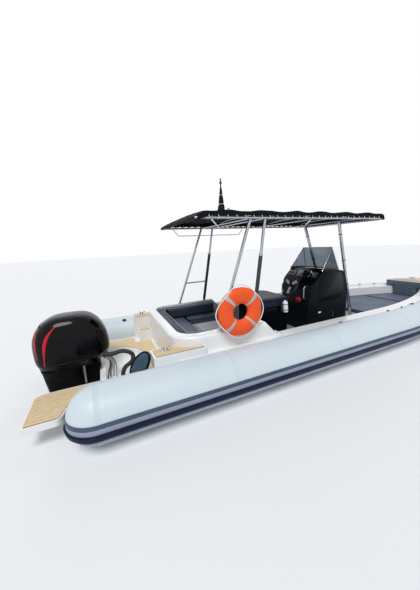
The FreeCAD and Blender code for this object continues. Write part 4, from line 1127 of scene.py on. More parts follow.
@dataclass
class Cushions:
    """The pads of one CAD node, swelled, seamed and piped."""

    node: str
    finish: Finish
    piping: Finish
    titles: Sequence[str]
    voxel: float = 0.014
    swell: float = 0.012
    fill: float = 0.6
    channels: Sequence[tuple[Point, Point]] = ()
    channel_depth: float = 0.007
    pipe_radius: float = 0.0045
    pipe: bool = True
    stitches: Sequence[float] = ()
    quilt: float = 0.0
    quilt_rise: float = 0.010
    quilt_share: float = 0.17
    crown: float = 0.012
    thread: float = 0.0021
    shrunk: float = 0.35
    pipe_drop: float = 0.55
    made: list[Piece] = field(default_factory=list)
    seams: list[list[list[Vector]]] = field(default_factory=list)

    def build(self) -> list[Piece]:
        """Build the pads up to their swelling.

        Returns:
            The pads, which complete() finishes after the simulation.
        """
        for title, solid in zip(self.titles, loose_solids(self.node)):
            self.seams.append(self.seam_lines(solid))
            if self.pipe:
                self.piped(title, solid)
            pad = self.remeshed(title, solid)
            pad["low"] = min(vert.co.z for vert in solid.verts)
            solid.free()
            self.made.append(pad)
        return self.made

    def remeshed(self, title: str, solid: Form) -> Piece:
        """Return an evenly meshed copy of a solid, a little smaller and rounded.

        Args:
            title: The piece's name.
            solid: The CAD solid.

        Returns:
            The pad as an object with no body yet.
        """
        source = bpy.data.meshes.new(title)
        solid.to_mesh(source)
        pad = stand(title, source)
        remesh = pad.modifiers.new("even", "REMESH")
        remesh.mode = "VOXEL"
        remesh.voxel_size = self.voxel
        remesh.use_smooth_shade = True
        graph = bpy.context.evaluated_depsgraph_get()
        mesh = bpy.data.meshes.new_from_object(pad.evaluated_get(graph))
        pad.modifiers.clear()
        form = bmesh.new()
        form.from_mesh(mesh)
        for _ in range(3):
            bmesh.ops.smooth_vert(form, verts=form.verts, factor=0.5, use_axis_x=True,
                                  use_axis_y=True, use_axis_z=True)
        form.normal_update()
        for vert in form.verts:
            vert.co -= vert.normal * self.swell * self.shrunk
        form.to_mesh(mesh)
        form.free()
        pad.data = mesh
        return pad

    def seam_lines(self, solid: Form) -> list[list[Vector]]:
        """Return the stitch lines of a pad, each at its distance inside the top's edge.

        Args:
            solid: The CAD solid.

        Returns:
            Closed lines of points at the top's height.
        """
        lines = []
        for distance in self.stitches:
            flat = solid.copy()
            top_region(flat)
            shrink(flat, distance)
            lines += [evenly(loop, 0.012) for loop in boundary_loops(flat)]
            flat.free()
        return lines

    def piped(self, title: str, solid: Form) -> None:
        """Lay piping round the top edge of a pad.

        Args:
            title: The pad's name.
            solid: The CAD solid.
        """
        flat = solid.copy()
        top_region(flat)
        form = bmesh.new()
        for loop in boundary_loops(flat):
            path = [p - UP * self.swell * self.pipe_drop for p in evenly(loop, 0.02)]
            for _ in range(3):
                path = [(path[i - 1] + path[i] * 2 + path[(i + 1) % len(path)]) / 4
                        for i in range(len(path))]
            add_tube(form, path, self.pipe_radius, around=8, closed=True)
        flat.free()
        finish_piece(title + "_piping", form, self.piping)

    def complete(self) -> None:
        """Crown, press and stitch the swelled pads and put them on the boat."""
        for index, (pad, lines) in enumerate(zip(self.made, self.seams)):
            form = bmesh.new()
            form.from_mesh(pad.data)
            self.shape(form, pad["low"])
            form.to_mesh(pad.data)
            self.stitch(pad.name, form, lines)
            form.free()
            smoother = pad.modifiers.new("soften", "SUBSURF")
            smoother.levels = smoother.render_levels = 1
            pad.data.shade_smooth()
            self.finish.cover(pad.data)
            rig.ride(pad, "boat")
            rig.slot(pad, self.finish.slot)
            if index == 0:
                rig.replaces(pad, self.node)
            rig.padded(pad, fill=self.fill)
            LOG.info("made %s, %d faces", pad.name, len(pad.data.polygons))

    def shape(self, form: Form, low: float) -> None:
        """Crown a pad and press its channels and quilting in.

        Args:
            form: The swelled pad.
            low: The height of its seat, which it doesn't pass.
        """
        high = max(vert.co.z for vert in form.verts)
        xs = [vert.co.x for vert in form.verts]
        ys = [vert.co.y for vert in form.verts]
        middle_x, half_x = (max(xs) + min(xs)) / 2, (max(xs) - min(xs)) / 2
        middle_y, half_y = (max(ys) + min(ys)) / 2, (max(ys) - min(ys)) / 2
        form.normal_update()
        for vert in form.verts:
            share = 1 - max(abs(vert.co.x - middle_x) / half_x,
                            abs(vert.co.y - middle_y) / half_y) ** 2
            vert.co.z += self.crown * max(0.0, vert.normal.z) * max(0.0, share) * 0.5
            for point, normal in self.channels:
                away = abs((vert.co - Vector(point)).dot(Vector(normal)))
                if vert.normal.z > 0.2 or vert.co.z > high - 0.02:
                    vert.co.z -= self.channel_depth * math.exp(
                        -(away / (self.voxel * 0.9)) ** 2)
            if self.quilt and vert.normal.x < -0.5:
                share = (vert.co.y * 0.6 + vert.co.z * 0.8) / self.quilt % 1.0 - 0.5
                vert.co.x += self.quilt_rise * math.exp(-(share / self.quilt_share) ** 2)
            vert.co.z = max(vert.co.z, low)

    def stitch(self, title: str, form: Form, lines: list[list[Vector]]) -> None:
        """Lay a pad's stitch lines on its finished surface.

        Args:
            title: The pad's name.
            form: The pad's mesh.
            lines: The stitch lines.
        """
        if not lines:
            return
        tree = BVHTree.FromBMesh(form)
        threads = bmesh.new()
        for line in lines:
            path = []
            for point in line:
                hit = tree.ray_cast(point + UP * 0.1, -UP)[0]
                path.append((hit or point) + UP * 0.0006)
            add_tube(threads, path, self.thread, around=6, closed=True)
        finish_piece(title + "_stitching", threads, PIPING_GREY)


def swell_together(sets: Sequence[Cushions], pressure: float = 4.0, frames: int = 20) -> None:
    """Swell all the pads in one cloth simulation and cap how far a point moves.

    Args:
        sets: The cushions whose pads are built but not complete.
        pressure: The pressure inside the pads.
        frames: How many frames the simulation runs.
    """
    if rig.quick():
        return
    pads = [(pad, owner) for owner in sets for pad in owner.made]
    for pad, _ in pads:
        cloth = pad.modifiers.new("swell", "CLOTH")
        cloth.settings.use_pressure = True
        cloth.settings.uniform_pressure_force = pressure
        cloth.settings.quality = 4
        cloth.settings.effector_weights.gravity = 0.0
        cloth.collision_settings.use_collision = False
        cloth.point_cache.frame_start = 1
        cloth.point_cache.frame_end = frames
    scene = bpy.context.scene
    for number in range(1, frames + 1):
        scene.frame_set(number)
    graph = bpy.context.evaluated_depsgraph_get()
    for pad, owner in pads:
        swelled = bpy.data.meshes.new_from_object(pad.evaluated_get(graph))
        for before, after in zip(pad.data.vertices, swelled.vertices):
            move = after.co - before.co
            if move.length > owner.swell:
                move *= owner.swell / move.length
            before.co += move
        pad.modifiers.clear()
        bpy.data.meshes.remove(swelled)
    scene.frame_set(1)


@dataclass
class Collar:
    """The inflated collar with its bands, tapes, valves and rope lugs."""

    radius: float = 0.266
    side_y: float = 1.098
    centre_z: float = 0.3
    straight_end: float = 4.4
    side_radius: float = 6.5
    tapes: Sequence[float] = (-0.01, 1.32, 2.86, 4.4, 5.75)
    tape_width: float = 0.045
    tape_rise: float = 0.0014
    sunk: float = 0.001
    valves: Sequence[float] = (0.42, 3.3, 5.2)
    valve_angle: float = 62.0
    lugs: Sequence[float] = (4.33, 4.72, 5.11, 5.50, 5.89, 6.28, 6.67)
    stern_x: float = -0.01
    nose_radius: float = 0.38
    line_middle: float = 8.0
    line_growth: float = 2.0

    def line(self, x: float, side: int) -> tuple[Vector, Vector]:
        """Follow the tube's centreline.

        Args:
            x: The length along the boat.
            side: -1 to starboard, 1 to port.

        Returns:
            The tube's centre and its direction there.
        """
        if x <= self.straight_end:
            return Vector((x, side * self.side_y, self.centre_z)), AHEAD.copy()
        run = x - self.straight_end
        drop = self.side_radius - math.sqrt(self.side_radius ** 2 - run ** 2)
        angle = math.asin(run / self.side_radius)
        way = Vector((math.cos(angle), -side * math.sin(angle), 0))
        return Vector((x, side * (self.side_y - drop), self.centre_z)), way

    def build(self) -> None:
        """Dress the tube and its bands and add what is glued to it."""
        TUBE_SKIN.dress("tube_collar")
        BAND_GREY.dress("grey_band")
        STRAKE_NAVY.dress("navy_strake")
        self.wide_line()
        self.tape_rings()
        self.air_valves()
        self.rope_lugs()

    def section(self, point: Vector) -> tuple[Vector, Vector, float]:
        """Find the tube's section that a point lies in.

        Args:
            point: A point on or near the tube's outer side.

        Returns:
            The tube's centre, the way out to the point in plan and how far that is.
        """
        side = 1 if point.y > 0 else -1
        flat = Vector((point.x, point.y, self.centre_z))
        inner = self.side_radius - self.nose_radius
        hub_y = self.side_radius - self.side_y
        nose_x = self.straight_end + math.sqrt(inner ** 2 - hub_y ** 2)
        if point.x <= self.straight_end:
            centre = Vector((max(point.x, self.stern_x), side * self.side_y, self.centre_z))
            out = flat - centre
            return centre, out.normalized(), out.length
        hub = Vector((self.straight_end, -side * hub_y, self.centre_z))
        reach = self.side_radius
        out = flat - hub
        if out.x * hub_y > abs(out.y) * (nose_x - self.straight_end):
            hub = Vector((nose_x, 0, self.centre_z))
            reach = self.nose_radius
            out = flat - hub
        way = out.normalized()
        return hub + way * reach, way, out.length - reach

    def wide_line(self) -> None:
        """Widen the dark line over the grey band to its width on the real tube."""
        form = merge_copy("trim_lines")
        for vert in form.verts:
            centre, way, out = self.section(vert.co)
            rise = vert.co.z - self.centre_z
            angle = math.degrees(math.atan2(rise, out))
            if angle > 0:
                reach = math.hypot(out, rise)
                angle = self.line_middle + (angle - self.line_middle) * self.line_growth
                turn = math.radians(angle)
                vert.co = centre + way * reach * math.cos(turn) + UP * reach * math.sin(turn)
        finish_piece("tube_lines", form, LINE_SLATE, replaces=("trim_lines",), turn=False)

    def tape_rings(self) -> None:
        """Add the seam tapes that go round the tube where its panels join."""
        form = bmesh.new()
        edge, low, high = self.tape_width / 2, self.radius - self.sunk, self.radius + self.tape_rise
        section = [(-edge, low), (0.002 - edge, high), (edge - 0.002, high), (edge, low),
                   (-edge, low)]
        for side in SIDES:
            for x in self.tapes:
                add_lathe(form, section, *self.line(x, side), steps=72)
        finish_piece("tube_seam_tapes", form, TUBE_TAPE)

    def air_valves(self) -> None:
        """Add the air valves on the inner faces of the tubes."""
        form = bmesh.new()
        angle = math.radians(self.valve_angle)
        for side in SIDES:
            for x in self.valves:
                out = Vector((0, -side * math.cos(angle), math.sin(angle)))
                foot = self.line(x, side)[0] + out * (self.radius - self.sunk)
                add_lathe(form, [(0, 0.0), (0, 0.036), (0.003, 0.034), (0.004, 0.024),
                                 (0.012, 0.022), (0.014, 0.018), (0.013, 0.006),
                                 (0.0135, 0.0)], foot, out, steps=32)
        finish_piece("air_valves", form, BLACK_PLASTIC)

    def rope_lugs(self) -> None:
        """Add the moulded lugs that stand for the plain lug blocks of the frame."""
        bases, loops = bmesh.new(), bmesh.new()
        tilt = math.asin(0.06 / self.radius)
        for side in SIDES:
            for x in self.lugs:
                centre, way = self.line(x, side)
                inward = Vector((-way.y, way.x, 0)) * -side
                out = (UP * math.cos(tilt) + inward * math.sin(tilt)).normalized()
                foot = centre + out * (self.radius - 0.002)
                pad = add_box(bases, (-0.05, -0.03, -0.004), (0.05, 0.03, 0.005), 0.004)
                bmesh.ops.transform(bases, matrix=axes_at(foot, way, out.cross(way), out),
                                    verts=pad)
                add_ring(loops, foot + out * 0.002, out.cross(way), 0.021, 0.0075,
                         steps=28, around=12)
        finish_piece("lug_patches", bases, TUBE_TAPE, replaces=("tube_handles",))
        finish_piece("lug_loops", loops, BLACK_PLASTIC)


@dataclass
class Decking:
    """The foam decking, cut in planks inside a border."""

    pitch: float = 0.046
    groove: float = 0.0045
    border: float = 0.034
    gap: float = 0.008
    lip: float = 0.03
    groove_depth: float = 0.0025
    sunk: float = 0.001

    def build(self) -> None:
        """Lay planks over each foam node of the frame."""
        for node in ("platform_pads", "deck_pad", "step_treads", "bow_tread"):
            self.lay(node)

    def lay(self, node: str) -> None:
        """Make one node's base sheet, border and planks.

        Args:
            node: The CAD node's name.
        """
        base, planks = bmesh.new(), bmesh.new()
        for solid in loose_solids(node):
            low = min(vert.co.z for vert in solid.verts)
            top = top_region(solid)
            if node == "platform_pads":
                shrink(solid, self.lip)
            self.raised(base, solid, low, top - self.groove_depth)
            low += self.sunk
            inner = solid.copy()
            ring = inset(inner, self.border)
            inner.faces.index_update()
            chosen = {face.index for face in ring}
            rim = inner.copy()
            gone = [face for face in rim.faces if face.index not in chosen]
            bmesh.ops.delete(rim, geom=gone, context="FACES")
            bmesh.ops.delete(inner, geom=ring, context="FACES")
            if inner.faces:
                shrink(inner, self.gap)
            self.raised(planks, rim, low, top)
            rim.free()
            self.strips(planks, inner, low, top)
            inner.free()
            solid.free()
        finish_piece(node + "_base", base, FOAM_SEAM, replaces=(node,))
        finish_piece(node + "_planks", planks, FOAM, sharp=30)

    def raised(self, target: Form, area: Form, low: float,
               top: float) -> None:
        """Add an area as a slab between two heights.

        Args:
            target: The bmesh that it goes into.
            area: The flat area, which is kept.
            low: The slab's underside.
            top: The slab's top.
        """
        if not area.faces:
            return
        slab = area.copy()
        for vert in slab.verts:
            vert.co.z = top
        grown = bmesh.ops.extrude_face_region(slab, geom=slab.faces[:])["geom"]
        for vert in only(grown, bmesh.types.BMVert):
            vert.co.z = low
        bmesh.ops.recalc_face_normals(slab, faces=slab.faces)
        pour(slab, target)

    def strips(self, target: Form, area: Form, low: float,
               top: float) -> None:
        """Cut an area into fore-and-aft planks and add them.

        Args:
            target: The bmesh that they go into.
            area: The flat area.
            low: The planks' underside.
            top: The planks' top.
        """
        if not area.verts:
            return
        start = min(vert.co.y for vert in area.verts)
        end = max(vert.co.y for vert in area.verts)
        count = max(1, round((end - start) / self.pitch))
        pitch = (end - start) / count
        for number in range(count):
            near = start + number * pitch + self.groove / 2
            far = start + (number + 1) * pitch - self.groove / 2
            strip = area.copy()
            for level, clear in ((near, "clear_inner"), (far, "clear_outer")):
                geom = strip.verts[:] + strip.edges[:] + strip.faces[:]
                bmesh.ops.bisect_plane(strip, geom=geom, dist=1e-6, plane_co=(0, level, 0),
                                       plane_no=(0, 1, 0), **{clear: True})
            gone = [vert for vert in strip.verts if not vert.link_faces]
            bmesh.ops.delete(strip, geom=gone, context="VERTS")
            self.raised(target, strip, low, top)
            strip.free()


@dataclass
class Sunshade:
    """The canopy's cloth, its lacing and the frame that carries it."""

    aft: float = 1.1387
    front: float = 4.4213
    half: float = 0.8113
    low: float = 2.026
    wall: float = 2.053
    shoulder: float = 2.12
    crown: float = 0.04
    slope: float = 30.0
    corner: float = 0.07
    bows: Sequence[float] = (1.35, 2.18, 3.3, 4.21)
    cloth: float = 0.002
    sag: float = 0.012
    bow_reach: float = 0.45
    wave: float = 0.009
    wave_pitch: float = 0.48
    rail_clear: float = 0.031
    aft_post: tuple[Point, Point] = ((1.865, 0.812, 0.735), (2.08, 0.768, 2.04))
    front_post: tuple[Point, Point] = ((4.543, 0.27, 0.172), (3.889, 0.375, 2.04))
    cable_ties: Sequence[float] = (0.3, 0.75, 1.2, 1.65)
    lace_pitch: float = 0.117
    lace_start: float = 1.3

    def height(self, x: float, y: float) -> float:
        """Return the height of the cloth's top at a place in plan.

        Args:
            x: The place ahead.
            y: The place to port.

        Returns:
            The height.
        """
        radius = (self.half ** 2 + self.crown ** 2) / (2 * self.crown)
        arch = self.shoulder + self.crown - (radius - math.sqrt(radius ** 2 - y ** 2))
        run = min(x - self.aft, self.front - x)
        end = self.wall + run * math.tan(math.radians(self.slope))
        blend = 0.02
        share = max(blend - abs(arch - end), 0.0) / blend
        level = min(arch, end) - share * share * blend * 0.25
        near = min(abs(x - bow) for bow in self.bows)
        sag = self.sag * smooth_step(0.0, self.bow_reach, near) * (1 - (abs(y) / self.half) ** 4)
        rim = smooth_step(self.half - 0.16, self.half, abs(y))
        wave = self.wave * rim * math.sin(x * FULL_TURN / self.wave_pitch
                                          + noise.noise(Vector((x * 1.5, y, 7))))
        wave += 0.005 * rim * noise.noise(Vector((x * 9, y * 3, 0)))
        wave += 0.003 * noise.noise(Vector((x * 5, y * 11, 3)))
        return level - sag * smooth_step(0, 0.1, run) - 0.004 + wave * smooth_step(0, 0.2, run)

    def build(self) -> None:
        """Build the cloth, its lacing and the sleeves of the posts."""
        STEEL.dress("aft_posts", "front_posts", "roof_frame", "hanging_rail")
        self.sheet()
        self.lacing()
        self.sleeves()

    def sheet(self) -> None:
        """Build the one sheet that covers the frame and turns down round it."""
        form = bmesh.new()
        centre = Vector(((self.aft + self.front) / 2, 0, 0))
        half_length = (self.front - self.aft) / 2
        bmesh.ops.create_grid(form, x_segments=150, y_segments=72, size=1.0)
        for vert in form.verts:
            across = vert.co.y * self.half
            along = vert.co.x * half_length
            dx = abs(along) - (half_length - self.corner)
            dy = abs(across) - (self.half - self.corner)
            if dx > 0 and dy > 0:
                pull = max(dx, dy) / math.hypot(dx, dy)
                along = math.copysign(half_length - self.corner + dx * pull, along)
                across = math.copysign(self.half - self.corner + dy * pull, across)
            x = centre.x + along
            vert.co = Vector((x, across, self.height(x, across)))
        rim = [edge for edge in form.edges if edge.is_boundary]
        for step in range(3):
            grown = bmesh.ops.extrude_edge_only(form, edges=rim)["geom"]
            rim = only(grown, bmesh.types.BMEdge)
            for vert in {v for edge in rim for v in edge.verts}:
                left = 3 - step
                run = min(vert.co.x - self.aft, self.front - vert.co.x)
                open_side = smooth_step(0.03, 0.2, run)
                scallop = 0.005 * math.cos((vert.co.x - self.lace_start) * FULL_TURN
                                           / self.lace_pitch)
                aim = self.low + 0.005 + open_side * (self.rail_clear - scallop)
                vert.co.z += (aim - vert.co.z) / left
        rolls = self.end_rolls(form)
        piece = finish_piece("canopy_sheet", form, CANVAS, replaces=("canopy",), sharp=70)
        if piece.data.polygons[len(piece.data.polygons) // 4].normal.z < 0:
            piece.data.flip_normals()
        wall = piece.modifiers.new("cloth", "SOLIDIFY")
        wall.thickness = self.cloth
        wall.offset = -1.0
        area = sum(polygon.area for polygon in piece.data.polygons)
        width = 2 * self.half + 0.19
        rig.sheet(piece, flat=(width, area / width), held="stretched",
                 rests_on=["roof_frame"], with_pieces=[rolls])

    def end_rolls(self, form: Form) -> Piece:
        """Roll the cloth's lower edge round the aft and forward bars.

        Args:
            form: The open sheet.

        Returns:
            The two rolls as one piece.
        """
        rolls = bmesh.new()
        loop = boundary_loops(form)[0]
        for end, way in ((self.aft, 1), (self.front, -1)):
            path = [p for p in evenly(loop, 0.02) if (p.x - end) * way < 0.13]
            near = [p for p in path if (p.x - end) * way > 0.001]
            flat = sorted((p for p in path if (p.x - end) * way <= 0.001), key=lambda p: p.y)
            lower = sorted((p for p in near if p.y < 0), key=lambda p: -(p.x - end) * way)
            upper = sorted((p for p in near if p.y > 0), key=lambda p: (p.x - end) * way)
            centre = Vector(((self.aft + self.front) / 2, 0, 0))
            line = [p + (centre - p).normalized() * 0.009 + UP * 0.009
                    for p in lower + flat + upper]
            add_tube(rolls, line, 0.0125, around=14)
        return finish_piece("canopy_end_rolls", rolls, CANVAS)

    def lacing(self) -> None:
        """Lace the hem to the side rails with short loops of cord."""
        form = bmesh.new()
        for side in SIDES:
            count = int((self.front - 0.1 - self.lace_start) / self.lace_pitch) + 1
            for number in range(count):
                x = self.lace_start + number * self.lace_pitch
                add_ring(form, (x, side * (self.half - 0.016), self.low + 0.024),
                         (1.0, 0.25, 0.0), 0.0225, 0.0034, steps=20, around=8)
        finish_piece("canopy_lacing", form, ROPE)

    @staticmethod
    def post(ends: tuple[Point, Point], side: int) -> tuple[Vector, Vector]:
        """Return a post's foot on one side and its run for each unit of height."""
        foot, head = (Vector((x, side * y, z)) for x, y, z in ends)
        return foot, (head - foot) / (head.z - foot.z)

    def sleeves(self) -> None:
        """Add the aft posts' black grips and collars and the forward posts' skins and cables."""
        grips, skins, cables = bmesh.new(), bmesh.new(), bmesh.new()
        for side in SIDES:
            foot, way = self.post(self.aft_post, side)
            low, high = foot + way * 0.015, foot + way * 0.865
            add_rod(grips, low, high, 0.0246, segments=32, bevel=0.003)
            add_rod(skins, high - way * 0.02, high + way * 0.012, 0.0262, segments=32,
                    bevel=0.003)
            foot, way = self.post(self.front_post, side)
            add_rod(skins, foot + way * 0.02, foot + way * 1.845, 0.0265, segments=32,
                    bevel=0.003)
            beside = AHEAD * 0.035
            add_rod(cables, foot + way * 0.06 + beside, foot + way * 1.8 + beside, 0.0065,
                    segments=12)
            for rise in self.cable_ties:
                tie = foot + way * rise
                add_rod(cables, tie, tie + way * 0.014, 0.0285, segments=24, bevel=0.002)
                add_rod(cables, tie + beside * 0.7, tie + beside * 0.7 + way * 0.014, 0.018,
                        segments=16, bevel=0.002)
        finish_piece("post_grips", grips, BLACK_PLASTIC)
        finish_piece("post_skins", skins, STEEL)
        finish_piece("post_cables", cables, RUBBER)


@dataclass
class Mast:
    """The light staff with its furled flag, the anchor light and the roof's bar."""

    x: float = 1.878
    rings: int = 30
    around: int = 48
    foot: float = 0.054
    head: float = 0.013
    ties: Sequence[tuple[float, float]] = ((0.3, 0.034), (0.68, 0.024))

    def build(self) -> None:
        """Dress the staff and make the furled cloth."""
        BLACK_PLASTIC.dress("light_staff", "roof_fittings")
        WHITE_PLASTIC.dress("anchor_light")
        self.flag()

    def flag(self) -> None:
        """Make the cloth rolled round the staff, tied in two places."""
        low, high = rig.box("furled_flag")
        form = bmesh.new()
        loops = []
        for number in range(self.rings + 1):
            share = number / self.rings
            z = low.z + 0.002 + (high.z - low.z - 0.004) * share
            body = self.foot * (1 - share) + self.head * share
            tie = 1 - 0.28 * sum(math.exp(-((share - place) / 0.03) ** 2)
                                 for place, _ in self.ties)
            made = bmesh.ops.create_circle(form, segments=self.around, radius=1.0,
                                           matrix=Matrix.Translation((self.x, 0, z)))["verts"]
            for vert in made:
                turn = math.atan2(vert.co.y, vert.co.x - self.x)
                fold = 1 + 0.16 * math.sin(turn * 7 + share * 5) * (1 - 0.4 * share)
                fold += 0.07 * math.sin(turn * 3 - share * 9)
                reach = max(0.0105, body * tie * fold * 0.9)
                vert.co.x = self.x + math.cos(turn) * reach
                vert.co.y = math.sin(turn) * reach
            loops.append(edges_of(made))
        loft(form, loops)
        piece = finish_piece("furled_cloth", form, FLAG_CLOTH, replaces=("furled_flag",),
                             sharp=80)
        area = sum(polygon.area for polygon in piece.data.polygons)
        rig.sheet(piece, flat=(0.33, area / 0.33), held="gathered", rests_on=["light_staff"])
        ties = bmesh.new()
        for share, reach in self.ties:
            z = low.z + (high.z - low.z) * share
            add_ring(ties, (self.x, 0, z), UP, reach, 0.004, steps=32, around=8)
        finish_piece("flag_ties", ties, ROPE)


@dataclass
class RingBuoy:
    """The ring lifebuoy with its reflective bands and grab rope."""

    centre: Point = (1.597, -0.944, 0.959)
    reach: float = 0.196
    section: float = 0.097
    depth: float = 0.054
    bands: int = 4
    band_sweep: float = 10.0
    band_rise: float = 0.0015
    rope: float = 0.007
    rope_points: int = 48
    rope_slack: float = 0.025
    rope_pull: float = 0.037
    lay: float = 0.012
    strand: float = 0.0006

    def build(self) -> None:
        """Build the ring, its bands and its rope."""
        form = bmesh.new()
        add_ring(form, self.centre, ABEAM, self.reach, self.section, self.depth, around=36)
        finish_piece("ring_buoy", form, BUOY_SKIN, replaces=("lifebuoy",))
        bands = bmesh.new()
        for number in range(self.bands):
            start = (number + 0.5) * 360 / self.bands - self.band_sweep / 2
            add_ring(bands, self.centre, ABEAM, self.reach, self.section + self.band_rise,
                     self.depth + self.band_rise, start=start, sweep=self.band_sweep,
                     around=36, steps=120)
        finish_piece("buoy_bands", bands, BUOY_BAND)
        self.grab_rope()

    def grab_rope(self) -> None:
        """Lay the rope in loops that are drawn in over the ring at the bands."""
        centre = Vector(self.centre)
        rim = self.reach + self.section + self.rope
        points = []
        for number in range(self.rope_points):
            turn = FULL_TURN * number / self.rope_points
            held = 0.5 + 0.5 * math.cos(self.bands * (turn - math.pi / self.bands))
            reach = rim + self.rope_slack - self.rope_pull * held ** 0.8
            points.append(centre + Vector((math.cos(turn) * reach, -0.005 - 0.019 * held,
                                           math.sin(turn) * reach)))
        route = curve_points(points, cyclic=True, resolution=6)
        form = bmesh.new()
        add_tube(form, route, lambda run: self.rope + self.strand
                 * (math.sin(run * FULL_TURN / self.lay) - 1), around=10, closed=True)
        finish_piece("buoy_rope", form, ROPE, replaces=("lifebuoy_rope",))


@dataclass
class HelmWheel:
    """The steering wheel: a grip rim, three metal spokes and a hub cap."""

    centre: Point = (3.215, 0.0, 0.985)
    tilt: float = 20.0
    reach: float = 0.17
    rim: float = 0.015
    grips: int = 20
    grip_depth: float = 0.09
    spokes: Sequence[float] = (90.0, 210.0, 330.0)
    spoke_half: float = 0.017
    dish: float = 0.014
    rings: Sequence[float] = (0.058, 0.086, 0.114, 0.142)

    def build(self) -> None:
        """Build the rim, the spokes and the hub."""
        tilt = math.radians(self.tilt)
        axis = Vector((-math.cos(tilt), 0, math.sin(tilt)))
        centre = Vector(self.centre)
        rim = bmesh.new()
        add_ring(rim, centre, axis, self.reach, self.rim, steps=120, around=20)
        for vert in rim.verts:
            away = vert.co - centre
            away -= axis * away.dot(axis)
            turn = math.atan2(away.dot(axis.cross(ABEAM)), away.dot(ABEAM))
            middle = centre + away.normalized() * self.reach
            grip = 1 - self.grip_depth * max(0.0, math.sin(turn * self.grips)) ** 2
            vert.co = middle + (vert.co - middle) * grip
        finish_piece("wheel_rim", rim, BLACK_PLASTIC, "wheel", replaces=("helm_wheel",))
        metal, hub = bmesh.new(), bmesh.new()
        for turn in self.spokes:
            spin = Matrix.Rotation(math.radians(turn), 3, axis)
            for shift in (-self.spoke_half, self.spoke_half):
                across = spin @ axis.cross(ABEAM)
                way = spin @ ABEAM
                start = centre - axis * self.dish + across * shift * 0.9
                end = centre + way * (self.reach - 0.008) + across * shift * 1.3
                add_rod(metal, start + way * 0.03, end, 0.0068, segments=12)
            for run in self.rings:
                middle = centre - axis * self.dish * (1 - run / self.reach) + way * run
                add_ring(metal, middle, axis, 0.0125, 0.0052, steps=20, around=8)
        finish_piece("wheel_spokes", metal, STEEL, "wheel")
        add_lathe(hub, [(-0.042, 0.0), (-0.042, 0.034), (-0.036, 0.038), (0.0, 0.038),
                        (0.004, 0.034), (0.005, 0.02), (0.003, 0.0)], centre, axis)
        finish_piece("wheel_hub", hub, BLACK_GLOSS, "wheel")


